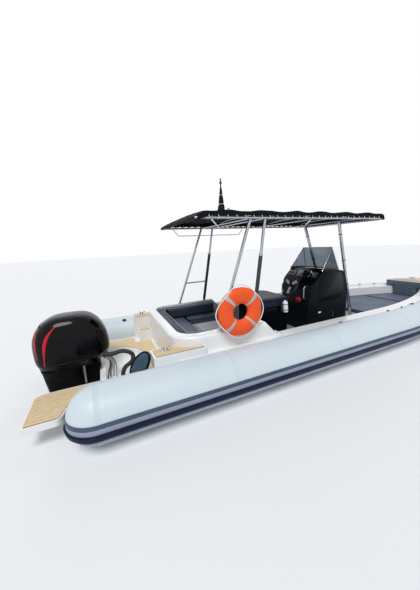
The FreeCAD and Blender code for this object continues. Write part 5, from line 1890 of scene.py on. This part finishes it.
@dataclass
class Console:
    """The console with its screen, instruments, hatch and rails."""

    half: float = 0.4
    dash_start: tuple[float, float] = (3.37, 1.01)
    dash_end: tuple[float, float] = (3.62, 1.262)
    dial_places: Sequence[float] = (0.205, 0.305)
    dial_radius: float = 0.038
    button_y: float = -0.17
    lever_y: float = -0.2935
    stop_place: Point = (3.322, -0.125, 0.724)
    sill: float = 0.72
    side_lean: float = 0.015 / 0.551
    # Upper side panel: ahead, height, rounding
    panel: Sequence[Point] = (
        (3.462, 0.70, 0.02), (4.065, 0.70, 0.17), (4.085, 1.10, 0.10), (3.98, 1.195, 0.05),
        (3.625, 1.236, 0.02), (3.474, 1.085, 0.02))
    gasket: Sequence[Point] = (
        (3.575, -0.378, 1.262), (3.965, -0.372, 1.236), (3.972, 0.0, 1.236),
        (3.965, 0.372, 1.236), (3.575, 0.378, 1.262))

    def dash(self, run: float, out: float, y: float) -> Vector:
        """Return a point by the dash.

        Args:
            run: How far up its slope.
            out: How far out from it.
            y: How far to port.

        Returns:
            The point.
        """
        start, end = Vector(self.dash_start), Vector(self.dash_end)
        way = (end - start).normalized()
        return Vector((start.x + way.x * run - way.y * out, y,
                       start.y + way.y * run + way.x * out))

    def slope(self) -> tuple[Vector, Vector]:
        """Return the directions up the dash and out from it."""
        foot = self.dash(0, 0, 0)
        return (self.dash(1, 0, 0) - foot).normalized(), (self.dash(0, 1, 0) - foot).normalized()

    def build(self) -> None:
        """Dress the console and add its small parts."""
        BLACK_GLOSS.dress("instruments")
        CHARCOAL.dress("console", "console_door")
        STEEL.dress("door_hinge", "screen_frame", "grab_rails")
        SCREEN_TINT.dress("windscreen")
        BLACK_PLASTIC.dress("wheel_shaft", "throttle")
        self.dials()
        self.latch()
        self.gloss_panels()
        self.lever()

    def dials(self) -> None:
        """Add the bezels, needles and buttons of the instruments."""
        rims, marks = bmesh.new(), bmesh.new()
        way, out = self.slope()
        for y in self.dial_places:
            centre = self.dash(0.2, 0.0125, y)
            add_ring(rims, centre, out, self.dial_radius, 0.003, steps=48, around=10)
            for number in range(9):
                turn = Matrix.Rotation(math.radians(-120 + number * 30), 3, out)
                reach = turn @ way
                add_rod(marks, centre + reach * 0.026, centre + reach * 0.033, 0.0011,
                        segments=6)
            reach = Matrix.Rotation(math.radians(-70), 3, out) @ way
            add_rod(marks, centre, centre + reach * 0.028, 0.0014, segments=6)
        screen = bmesh.new()
        low, high = self.dash(0.13, 0.0162, -0.112), self.dash(0.275, 0.0162, 0.122)
        corner = add_box(screen, (0, 0, -0.001), ((high - low).dot(way), 0.234, 0.0012), 0.0008)
        bmesh.ops.transform(screen, matrix=axes_at(low, way, ABEAM, out), verts=corner)
        finish_piece("chart_screen", screen, SCREEN_GLASS)
        for number in range(4):
            foot = self.dash(0.15 + number * 0.03, 0.001, self.button_y)
            add_rod(rims, foot, foot + out * 0.008, 0.009, segments=20, bevel=0.0015)
        finish_piece("dial_rims", rims, STEEL)
        finish_piece("dial_marks", marks, WHITE_PLASTIC)

    def latch(self) -> None:
        """Add the pale latch of the hatch and the stop switch by the wheel."""
        form = bmesh.new()
        low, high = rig.box("console_door")
        x, z = low.x + 0.045, high.z - 0.13
        plate = ((-0.034, -0.014, 0.008), (0.034, -0.014, 0.008), (0.034, 0.014, 0.008),
                 (-0.034, 0.014, 0.008))
        add_plate(form, plate, lambda p: Vector((x + p.x, -0.4158 - p.z, z + p.y)), 0.004)
        add_rod(form, (x + 0.01, -0.419, z), (x + 0.01, -0.4235, z), 0.0085, segments=24,
                bevel=0.001)
        finish_piece("hatch_latch", form, WHITE_PLASTIC, "hatch")
        red = bmesh.new()
        add_lathe(red, [(0.0, 0.0), (0.0, 0.036), (0.012, 0.038), (0.026, 0.047),
                        (0.042, 0.044), (0.053, 0.028), (0.056, 0.0)], self.stop_place,
                  (-1, -0.25, 0.1), steps=32)
        finish_piece("stop_switch", red, SWITCH_RED)

    def side(self, hand: int, lift: float) -> Callable[[Vector], Vector]:
        """Set flat points on one side face, which leans in above its sill.

        Args:
            hand: -1 to starboard, 1 to port.
            lift: How far off the face they lie.

        Returns:
            A function that takes a flat point to its place.
        """
        def place(flat: Vector) -> Vector:
            """Return the place of one flat point."""
            lean = self.side_lean * max(0.0, flat.y - self.sill)
            return Vector((flat.x, hand * (self.half + lift + flat.z - lean), flat.y))
        return place

    def gloss_panels(self) -> None:
        """Add the glossy upper panels with their round lower corner, and the screen's gasket."""
        panels = bmesh.new()
        for hand in SIDES:
            add_plate(panels, self.panel, self.side(hand, 0.0004), 0.0045, 0.003)
        dash = ((-0.02, -0.365, 0.02), (0.33, -0.372, 0.02), (0.33, 0.372, 0.02),
                (-0.02, 0.365, 0.02))
        add_plate(panels, dash, lambda p: self.dash(p.x + 0.01, 0.0008 + p.z, p.y), 0.002)
        finish_piece("console_gloss_panels", panels, BLACK_GLOSS, sharp=30)
        gasket = bmesh.new()
        for start, end in zip(self.gasket, self.gasket[1:]):
            add_rod(gasket, start, end, 0.0095, segments=16, bevel=0.003)
        finish_piece("screen_gasket", gasket, BLACK_PLASTIC)

    def lever(self) -> None:
        """Add the bright cap and arm of the engine control over its dark housing."""
        form = bmesh.new()
        low, high = self.dash(0.155, 0.0485, self.lever_y), self.dash(0.225, 0.0485, self.lever_y)
        out = self.slope()[1]
        middle = (low + high) / 2
        add_lathe(form, [(-0.002, 0.0), (-0.002, 0.024), (0.004, 0.024), (0.007, 0.018),
                         (0.008, 0.0)], middle, out, steps=32)
        arm = (self.dash(0.188, 0.05, self.lever_y), self.dash(0.158, 0.14, self.lever_y))
        add_rod(form, *arm, 0.0105, 0.0092, segments=20, bevel=0.002)
        grip = self.dash(0.15, 0.165, self.lever_y)
        for hand in SIDES:
            add_rod(form, grip + ABEAM * hand * 0.037, grip + ABEAM * hand * 0.0415, 0.0145,
                    segments=24, bevel=0.002)
        finish_piece("lever_trim", form, STEEL)


@dataclass
class HelmSeat:
    """The leaning post and the white bottle on its side."""

    place: tuple[float, float] = (2.748, -0.42)
    lean: Point = (-0.09, 0.0, 1.0)
    radius: float = 0.038
    strap: float = 0.0025
    strap_rises: Sequence[float] = (0.035, 0.125)

    def build(self) -> None:
        """Dress the post and build the bottle and its bracket."""
        BLACK_GLOSS.dress("leaning_post")
        bottle, straps = bmesh.new(), bmesh.new()
        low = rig.box("extinguisher")[0]
        foot = Vector((*self.place, low.z + 0.008))
        lean = Vector(self.lean)
        inner, outer = self.radius - 0.0005, self.radius + self.strap
        add_lathe(bottle, [(0.0, 0.0), (0.0, 0.033), (0.005, self.radius), (0.158, self.radius),
                           (0.172, 0.031), (0.178, 0.014), (0.19, 0.012), (0.19, 0.0)],
                  foot, lean, steps=40)
        finish_piece("white_bottle", bottle, WHITE_PLASTIC, replaces=("extinguisher",))
        for rise in self.strap_rises:
            add_lathe(straps, [(0.0, inner), (0.0, outer), (0.01, outer), (0.01, inner),
                               (0.0, inner)], foot + lean.normalized() * rise, lean, steps=40)
        add_box(straps, (foot.x - 0.062, -0.41, low.z + 0.012),
                (foot.x - 0.036, -0.372, low.z + 0.15), 0.004)
        add_box(straps, (foot.x - 0.05, -0.384, low.z + 0.02),
                (foot.x + 0.03, -0.371, low.z + 0.14), 0.003)
        finish_piece("bottle_bracket", straps, BLACK_PLASTIC)


@dataclass
class Engine:
    """The outboard engine: cowl, stripes, lower cover, leg and propeller."""

    # Rows of the cowl: height, aft end, forward end, half breadth
    rows: Sequence[tuple[float, float, float, float]] = (
        (0.420, -0.649, 0.026, 0.244), (0.466, -0.664, 0.098, 0.266),
        (0.510, -0.672, 0.144, 0.279), (0.600, -0.6745, 0.149, 0.284),
        (0.690, -0.672, 0.140, 0.284), (0.760, -0.660, 0.124, 0.280),
        (0.810, -0.642, 0.106, 0.272), (0.860, -0.617, 0.080, 0.260),
        (0.900, -0.585, 0.052, 0.246), (0.935, -0.548, 0.019, 0.226),
        (0.965, -0.500, -0.020, 0.200), (0.985, -0.455, -0.060, 0.168),
        (0.997, -0.405, -0.105, 0.125), (1.002, -0.340, -0.160, 0.070),
    )
    pan_rows: Sequence[tuple[float, float, float, float]] = (
        (0.384, -0.638, 0.002, 0.229), (0.402, -0.643, 0.016, 0.236),
        (0.421, -0.6495, 0.0255, 0.2435))
    leg_rows: Sequence[tuple[float, float, float, float]] = (
        (0.20, -0.606, -0.212, 0.146), (0.26, -0.616, -0.208, 0.172),
        (0.32, -0.626, -0.204, 0.198), (0.36, -0.633, -0.201, 0.217),
        (0.388, -0.638, -0.2, 0.229))
    around: int = 96
    levels: int = 40
    split_z: float = 0.465
    squareness: tuple[float, float] = (2.9, 2.7)
    # Stripes: place ahead, height
    main_stripe: Sequence[tuple[float, float]] = (
        (-0.383, 0.922), (-0.434, 0.879), (-0.477, 0.823), (-0.504, 0.762), (-0.522, 0.698),
        (-0.538, 0.582), (-0.546, 0.475))
    thin_stripe: Sequence[tuple[float, float]] = (
        (-0.562, 0.898), (-0.598, 0.829), (-0.612, 0.767), (-0.617, 0.700), (-0.615, 0.620),
        (-0.606, 0.560))
    louvres: Sequence[float] = (0.903, 0.915, 0.927)
    ribbon_rise: float = 0.0016
    ribbon_edge_rise: float = 0.0009
    taper: float = 0.42
    tip: float = 0.35
    smoothing: int = 60

    def ring(self, form: Form, row: tuple[float, float, float, float],
             grow: float = 0.0) -> list:
        """Add one plan section of the cowl.

        Args:
            form: The bmesh that it goes into.
            row: Its height, aft end, forward end and half breadth.
            grow: How much larger it is than its row.

        Returns:
            Its edges.
        """
        z, aft, front, half = row
        middle = (aft + front) / 2
        reach = (front - aft) / 2 + grow
        width = half + grow
        made = bmesh.ops.create_circle(form, segments=self.around, radius=1.0)["verts"]
        for vert in made:
            turn = math.atan2(vert.co.y, vert.co.x)
            power = 2 / self.squareness[0 if math.cos(turn) < 0 else 1]
            c, s = math.cos(turn), math.sin(turn)
            vert.co = Vector((middle + math.copysign(abs(c) ** power, c) * reach,
                              math.copysign(abs(s) ** power, s) * width, z))
        return edges_of(made)

    def between(self, share: float, rows: Sequence[tuple]) -> tuple:
        """Blend the rows of the cowl smoothly.

        Args:
            share: The share of the way up the rows.
            rows: The rows.

        Returns:
            The row there.
        """
        place = share * (len(rows) - 1)
        index = min(int(place), len(rows) - 2)
        t = place - index
        picks = [rows[max(0, min(len(rows) - 1, index + k))] for k in (-1, 0, 1, 2)]
        return tuple(0.5 * ((2 * b) + (c - a) * t + (2 * a - 5 * b + 4 * c - d) * t * t
                            + (3 * b - a - 3 * c + d) * t ** 3)
                     for a, b, c, d in zip(*picks))

    def build(self) -> None:
        """Build the cowl and dress the rest of the engine."""
        COWL_MATTE.dress("engine_leg", "gearcase", "clamp_bracket", "swivel_bracket")
        STEEL.dress("propeller")
        ENGINE_BLOCK.dress("powerhead")
        RUBBER.dress("hose_grommet")
        cowl = self.cowl()
        self.stripes(cowl)
        self.fairing()

    def cowl(self) -> Piece:
        """Build the smooth upper cowl and the glossy band below it."""
        upper = [row for row in self.rows if row[0] > self.split_z]
        form = bmesh.new()
        rows = [self.between(number / self.levels, upper) for number in range(self.levels + 1)]
        first = rows[0]
        lead = [(first[0] + 0.010, first[1] + 0.004, first[2] - 0.004, first[3] - 0.004),
                (first[0], first[1] + 0.002, first[2] - 0.002, first[3] - 0.002)]
        loops = [self.ring(form, row) for row in lead + rows]
        loft(form, loops, capped=(-1,))
        crown = [face for face in form.faces if len(face.verts) > 8]
        bmesh.ops.poke(form, faces=crown)
        piece = finish_piece("engine_cowl", form, COWL_GLOSS, "outboard", replaces=("cowl",),
                             sharp=60)
        lower = bmesh.new()
        rows = self.rows[:2]
        steps = [rows[0], self.between(0.5, rows), (rows[1][0] - 0.004, *rows[1][1:])]
        loft(lower, [self.ring(lower, row, -0.001) for row in steps], capped=(0, -1))
        finish_piece("cowl_skirt", lower, COWL_GLOSS, "outboard", sharp=50)
        return piece

    def fairing(self) -> None:
        """Build the covers that carry the cowl's outline down round the leg."""
        for name, steps, finish, old in (
                ("cowl_pan_cover", self.pan_rows, COWL_GLOSS, ("cowl_pan",)),
                ("leg_cover", self.leg_rows, COWL_MATTE, ())):
            form = bmesh.new()
            loft(form, [self.ring(form, row) for row in steps], capped=(0, -1))
            finish_piece(name, form, finish, "outboard", replaces=old, sharp=50)

    def stripes(self, cowl: Piece) -> None:
        """Lay the red stripes, the vent and the grey trim line on the cowl.

        Args:
            cowl: The smooth cowl.
        """
        form = bmesh.new()
        form.from_mesh(cowl.data)
        tree = BVHTree.FromBMesh(form)
        form.free()
        trim = tuple((-0.6 + 0.68 * k / 12, 0.484 + 0.004 * math.cos(k)) for k in range(13))
        for name, line, half, finish in (
                ("stripe_main", self.main_stripe, 0.018, STRIPE_RED),
                ("stripe_thin", self.thin_stripe, 0.014, STRIPE_RED),
                ("cowl_trim", trim, 0.003, TRIM_GREY)):
            form = bmesh.new()
            for side in SIDES:
                route = curve_points([(x, side * 0.6, z) for x, z in line], resolution=12)
                self.ribbon(form, tree, route, half, Vector((0, -side, 0)))
            finish_piece(name, form, finish, "outboard", sharp=60)
        vent, louvres = bmesh.new(), bmesh.new()
        for target, half, reach, levels in ((vent, 0.022, 0.14, self.louvres[1:2]),
                                            (louvres, 0.0022, 0.125, self.louvres)):
            for z in levels:
                route = curve_points([(-0.9, reach * k / 4, z) for k in range(-4, 5)])
                self.ribbon(target, tree, route, half, AHEAD)
        finish_piece("cowl_vent", vent, COWL_MATTE, "outboard", sharp=60)
        for vert in louvres.verts:
            vert.co += Vector((-0.0012, 0, 0.0008))
        finish_piece("vent_louvres", louvres, TRIM_GREY, "outboard", sharp=60)

    def ribbon(self, form: Form, tree: BVHTree, route: Sequence[Vector],
               half: float, cast: Vector) -> None:
        """Lay a raised ribbon with tapered ends on the cowl.

        Args:
            form: The bmesh that it goes into.
            tree: The cowl's surface.
            route: Points off the cowl, which the cast brings onto it.
            half: Half its width.
            cast: The direction of the cast.
        """
        line = []
        for aim in route:
            hit = tree.ray_cast(aim, cast)[0]
            line.append(hit or tree.find_nearest(aim)[0])
        for _ in range(self.smoothing):
            middle = [(a + b * 2 + c) / 4 for a, b, c in zip(line, line[1:], line[2:])]
            line = [line[0]] + middle + [line[-1]]
        rows = []
        for index, here in enumerate(line):
            before, after = line[max(0, index - 1)], line[min(len(line) - 1, index + 1)]
            outward = tree.find_nearest(here)[1]
            across = (after - before).cross(outward).normalized()
            taper = smooth_step(0, self.taper, min(index, len(line) - 1 - index) / len(line))
            reach = half * (self.tip + (1 - self.tip) * taper)
            row = []
            for shift in (-1.0, -0.5, 0.0, 0.5, 1.0):
                hit, normal, _, _ = tree.find_nearest(here + across * shift * reach)
                rise = self.ribbon_rise if abs(shift) < 1 else self.ribbon_edge_rise
                row.append(form.verts.new(hit + normal * rise))
            rows.append(row)
        for low, high in zip(rows, rows[1:]):
            for k in range(4):
                form.faces.new((low[k], low[k + 1], high[k + 1], high[k]))


@dataclass
class Hose:
    """The corrugated rigging hose between the cowl and the splash well."""

    radius: float = 0.027
    route: Sequence[tuple[float, float, float]] = (
        (0.0937, -0.2677, 0.5), (0.1418, -0.3291, 0.5), (0.275, -0.385, 0.556),
        (0.396, -0.410, 0.500), (0.385, -0.412, 0.395), (0.250, -0.392, 0.322),
        (0.250, -0.392, 0.1905),
    )
    upper_length: float = 0.135
    turned_share: float = 0.42
    cable_upper: float = 0.16
    held: tuple[float, float, float] = (0.42, -0.41, 0.33)
    rib: float = 0.0105
    rib_depth: float = 0.004
    # Cables: shift ahead, shift to port, radius
    cables: Sequence[tuple[float, float, float]] = (
        (-0.034, 0.030, 0.0078), (-0.060, 0.012, 0.0068), (-0.012, 0.050, 0.0075),
        (-0.044, 0.052, 0.0062), (0.010, 0.026, 0.007))
    # Their common route: place, then how much of each shift counts there
    cable_route: Sequence[tuple[float, float, float, float, float]] = (
        (0.045, -0.195, 0.492, 0.5, 0.5), (0.090, -0.255, 0.478, 1.0, 1.0),
        (0.125, -0.30, 0.474, 1.0, 1.0), (0.165, -0.335, 0.445, 0.6, 1.0),
        (0.185, -0.345, 0.36, 1.0, 1.6), (0.175, -0.35, 0.28, 1.4, 1.8),
        (0.165, -0.35, 0.188, 1.4, 1.8))

    def build(self) -> None:
        """Build the hose in an upper and a lower piece that meet on the swivel."""
        points = curve_points(self.route, resolution=40)
        lengths = lengths_along(points)
        split = next(k for k, run in enumerate(lengths) if run > self.upper_length)
        upper = self.ribbed("hose_upper", points[:split + 1], 0.0)
        turned = points[int(split * self.turned_share)]
        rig.blend(upper, "outboard", "swivel", start=points[0], end=turned)
        route = points[split:]
        lower = self.ribbed("hose_lower", route, lengths[split])
        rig.blend(lower, "swivel", "boat", start=route[0], end=self.held)
        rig.cord(lower, exit=route[0], length=lengths[-1] - lengths[split],
                diameter=2 * self.radius, far_end="object", stiffness="stiff", lay="loose",
                path=route, with_pieces=[upper])
        self.control_cables()

    def control_cables(self) -> None:
        """Hang the thin cables between the cowl's corner and the splash well."""
        for number, (shift_x, shift_y, radius) in enumerate(self.cables):
            finish = RUBBER if number % 2 else CABLE_GREY
            line = curve_points([(x + shift_x * share_x, y + shift_y * share_y, z)
                                 for x, y, z, share_x, share_y in self.cable_route],
                                resolution=16)
            lengths = lengths_along(line)
            split = next(k for k, run in enumerate(lengths) if run > self.cable_upper)
            for name, route, bodies in (("upper", line[:split + 1], ("outboard", "swivel")),
                                        ("lower", line[split:], ("swivel", "boat"))):
                form = bmesh.new()
                add_tube(form, route, radius, around=10)
                piece = finish_piece(f"cable_{number}_{name}", form, finish, "")
                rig.blend(piece, *bodies, start=route[0], end=route[-1])
                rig.cord(piece, exit=route[0], length=lengths_along(route)[-1],
                        diameter=2 * radius, far_end="object", stiffness="stiff", path=route)

    def ribbed(self, name: str, route: Sequence[Vector], start: float) -> Piece:
        """Make one stretch of the hose with its corrugation.

        Args:
            name: The piece's name.
            route: The points of its middle.
            start: The hose's length before this stretch.

        Returns:
            The stretch, with no body yet.
        """
        form = bmesh.new()
        fine = [route[0]]
        run = 0.0
        for before, here in zip(route, route[1:]):
            run += (here - before).length
            if run >= self.rib / 5 or here is route[-1]:
                fine.append(here)
                run = 0.0
        add_tube(form, fine, lambda at: self.radius - self.rib_depth * (0.5 - 0.5 * math.cos(
            (at + start) * FULL_TURN / self.rib)), around=24)
        return finish_piece(name, form, RUBBER, "", replaces=("rigging_hose",), sharp=70)


@dataclass
class Mouldings:
    """The hull, the white mouldings and the towing eye."""

    def build(self) -> None:
        """Dress them."""
        GELCOAT.dress("sundeck_base", "bow_step", "hull", "swim_platforms", "seat_moulding")
        DECK_GELCOAT.dress("deck")
        STEEL.dress("bow_eye")


@dataclass
class Cleats:
    """The mooring cleats on the side ledges and on the bow step."""

    places: Sequence[tuple[float, float, float, bool]] = (
        (0.7, -0.835, 0.627, False), (0.7, 0.835, 0.627, False), (7.07, 0.0, 0.707, True))

    def build(self) -> None:
        """Build each cleat on its foot plate."""
        form = bmesh.new()
        for x, y, z, athwart in self.places:
            way = ABEAM if athwart else AHEAD
            centre = Vector((x, y, z))
            turn = Matrix.Rotation(math.pi / 2 if athwart else 0.0, 4, "Z")
            add_box(form, (-0.045, -0.018, 0.0), (0.045, 0.018, 0.006), 0.0025,
                    matrix=Matrix.Translation(centre) @ turn)
            for sign in SIDES:
                leg = centre + way * sign * 0.02
                add_rod(form, leg + UP * 0.004, leg + UP * 0.04, 0.010, 0.007, segments=16)
                add_rod(form, centre + UP * 0.043, centre + way * sign * 0.068 + UP * 0.047,
                        0.0095, 0.006, segments=16, bevel=0.002)
        finish_piece("mooring_cleats", form, STEEL, replaces=("cleats",), sharp=50)


@dataclass
class Studio:
    """The pale floor, the soft lights and the camera."""

    position: Point = (0.1746, -3.2940, 1.7414)
    lens: float = 14.644
    yaw: float = 0.4170
    pitch: float = 0.2044
    roll: float = -0.0449
    sensor: float = 36.0
    # Lamps: name, way to it, strength, spread in degrees
    lamps: Sequence[tuple[str, Point, float, float]] = (
        ("key", (-0.35, -0.62, 1.1), 2.0, 24.0), ("back", (0.5, 0.9, 0.8), 0.35, 50.0))
    floor_half: float = 60.0
    floor_tone: tuple[float, float, float, float] = (0.86, 0.87, 0.88, 1.0)
    soft_tone: tuple[float, float, float, float] = (0.93, 0.96, 1.0, 1.0)
    soft_strength: float = 0.42

    def build(self) -> None:
        """Set up the view, the floor, the lamps and the camera."""
        bpy.context.scene.view_settings.view_transform = "Standard"
        self.floor()
        self.sky()
        for name, way, strength, spread in self.lamps:
            lamp = bpy.data.lights.new(name, "SUN")
            lamp.energy = strength
            lamp.angle = math.radians(spread)
            stand(name, lamp).rotation_euler = Vector(way).to_track_quat("Z", "Y").to_euler()
        self.camera()

    def floor(self) -> None:
        """Lay the floor at the waterline."""
        form = bmesh.new()
        bmesh.ops.create_grid(form, x_segments=1, y_segments=1, size=self.floor_half)
        mesh = bpy.data.meshes.new("floor")
        form.to_mesh(mesh)
        form.free()
        material = bpy.data.materials.new("floor")
        material.use_nodes = True
        shader = material.node_tree.nodes["Principled BSDF"]
        shader.inputs["Base Color"].default_value = self.floor_tone
        shader.inputs["Roughness"].default_value = 0.85
        mesh.materials.append(material)
        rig.stage(stand("floor", mesh))

    def sky(self) -> None:
        """Light the scene evenly and show a pale backdrop to the camera and in gloss."""
        world = bpy.data.worlds.new("sky")
        bpy.context.scene.world = world
        world.use_nodes = True
        wiring = Wiring(world.node_tree)
        world.node_tree.nodes.clear()
        out = wiring.add("OutputWorld")
        soft = wiring.add("Background", {"Color": self.soft_tone,
                                         "Strength": self.soft_strength})
        seen = wiring.add("Background", {"Color": (1, 1, 1, 1), "Strength": 1.0})
        ray = wiring.add("LightPath")
        both = wiring.maths("MAXIMUM", ray.outputs["Is Camera Ray"], ray.outputs["Is Glossy Ray"])
        every = wiring.maths("MAXIMUM", both, ray.outputs["Is Transmission Ray"])
        mix = wiring.add("MixShader")
        wiring.join(every, mix.inputs[0])
        wiring.join(soft.outputs[0], mix.inputs[1])
        wiring.join(seen.outputs[0], mix.inputs[2])
        wiring.join(mix.outputs[0], out.inputs[0])

    def camera(self) -> None:
        """Stand the camera where the photograph was taken from."""
        look = Vector((math.sin(self.yaw) * math.cos(self.pitch),
                       math.cos(self.yaw) * math.cos(self.pitch), -math.sin(self.pitch)))
        right = Vector((math.cos(self.yaw), -math.sin(self.yaw), 0))
        over = right.cross(look)
        right, over = (right * math.cos(self.roll) + over * math.sin(self.roll),
                       over * math.cos(self.roll) - right * math.sin(self.roll))
        lens = bpy.data.cameras.new("view")
        lens.lens = self.lens
        lens.sensor_width = self.sensor
        lens.clip_end = 200.0
        holder = stand("view", lens)
        holder.matrix_world = axes_at(self.position, right, over, -look)
        bpy.context.scene.camera = holder


@dataclass
class OvalRim:
    """The lean and the black edging of the oval pad on the aft deck."""

    normal: Point = (-0.35, -0.88, 0.32)
    lean: float = -14.0
    half_height: float = 0.156
    half_width: float = 0.083
    section: float = 0.0155
    lift: float = 0.009

    def build(self, pad: Piece) -> None:
        """Lean the pad forward and lay its edging.

        Args:
            pad: The finished oval pad.
        """
        low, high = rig.box("oval_pad")
        centre = (Vector(low) + Vector(high)) / 2
        normal = Vector(self.normal).normalized()
        turn = Matrix.Rotation(math.radians(self.lean), 3, normal)
        for vert in pad.data.vertices:
            vert.co = centre + turn @ (vert.co - centre)
        long = UP + AHEAD * 0.35
        long = turn @ (long - normal * long.dot(normal)).normalized()
        short = normal.cross(long)
        path = []
        for number in range(72):
            angle = FULL_TURN * number / 72
            path.append(centre + normal * self.lift + long * math.cos(angle) * self.half_height
                        + short * math.sin(angle) * self.half_width)
        form = bmesh.new()
        add_tube(form, path, self.section, around=14, closed=True)
        finish_piece("oval_bolster_rim", form, PIPING_DARK)


def soft_goods() -> None:
    """Build, swell and finish every cushion and pad."""
    sets = [
        Cushions("seat_cushions", VINYL_SEAT_PAINTED_SHADE, PIPING_DARK,
                 ("seat_pad_aft", "seat_pad_starboard", "seat_pad_port"),
                 channels=(((1.165, 0, 0), (1, 0, 0)),)),
        Cushions("back_cushions", VINYL_BACK, PIPING_GREY,
                 ("back_pad_aft", "back_pad_starboard", "back_pad_port"), crown=0.004,
                 voxel=0.013, stitches=(0.016, 0.030)),
        Cushions("post_cushion", VINYL_NAVY, PIPING_DARK, ("post_pad",), fill=0.7),
        Cushions("sun_pads", VINYL_PAD, PIPING_DARK, ("sun_pad_aft", "sun_pad_fore"),
                 voxel=0.018, channels=(((0, 0, 0), (0, 1, 0)),)),
        Cushions("bow_backrest", VINYL_QUILT, PIPING_WHITE, ("bow_backrest_pad",), crown=0.0,
                 voxel=0.009, pipe_radius=0.008, quilt=0.06),
        Cushions("oval_pad", VINYL_OVAL, PIPING_DARK, ("oval_bolster",), crown=0.0,
                 voxel=0.007, swell=0.006, pipe=False),
    ]
    for group in sets:
        group.build()
    swell_together(sets)
    for group in sets:
        group.complete()
    OvalRim().build(sets[-1].made[0])


def main() -> None:
    """Build every sub-assembly in order and report each one."""
    logging.basicConfig(level=logging.INFO, format="%(message)s")
    Studio().build()
    for part in (Collar(), Mouldings(), Decking(), Sunshade(), Mast(), RingBuoy(), Console(),
                 HelmWheel(), HelmSeat(), Engine(), Hose(), Cleats()):
        LOG.info("building %s", type(part).__name__)
        part.build()
    soft_goods()
    size = {"cad": [list(corner) for corner in CAD_BOX],
            "visual": [list(corner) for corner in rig.bounds()]}
    with open("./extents.json", "w", encoding="utf-8") as target:
        json.dump(size, target)


if __name__ == "__main__":
    main()
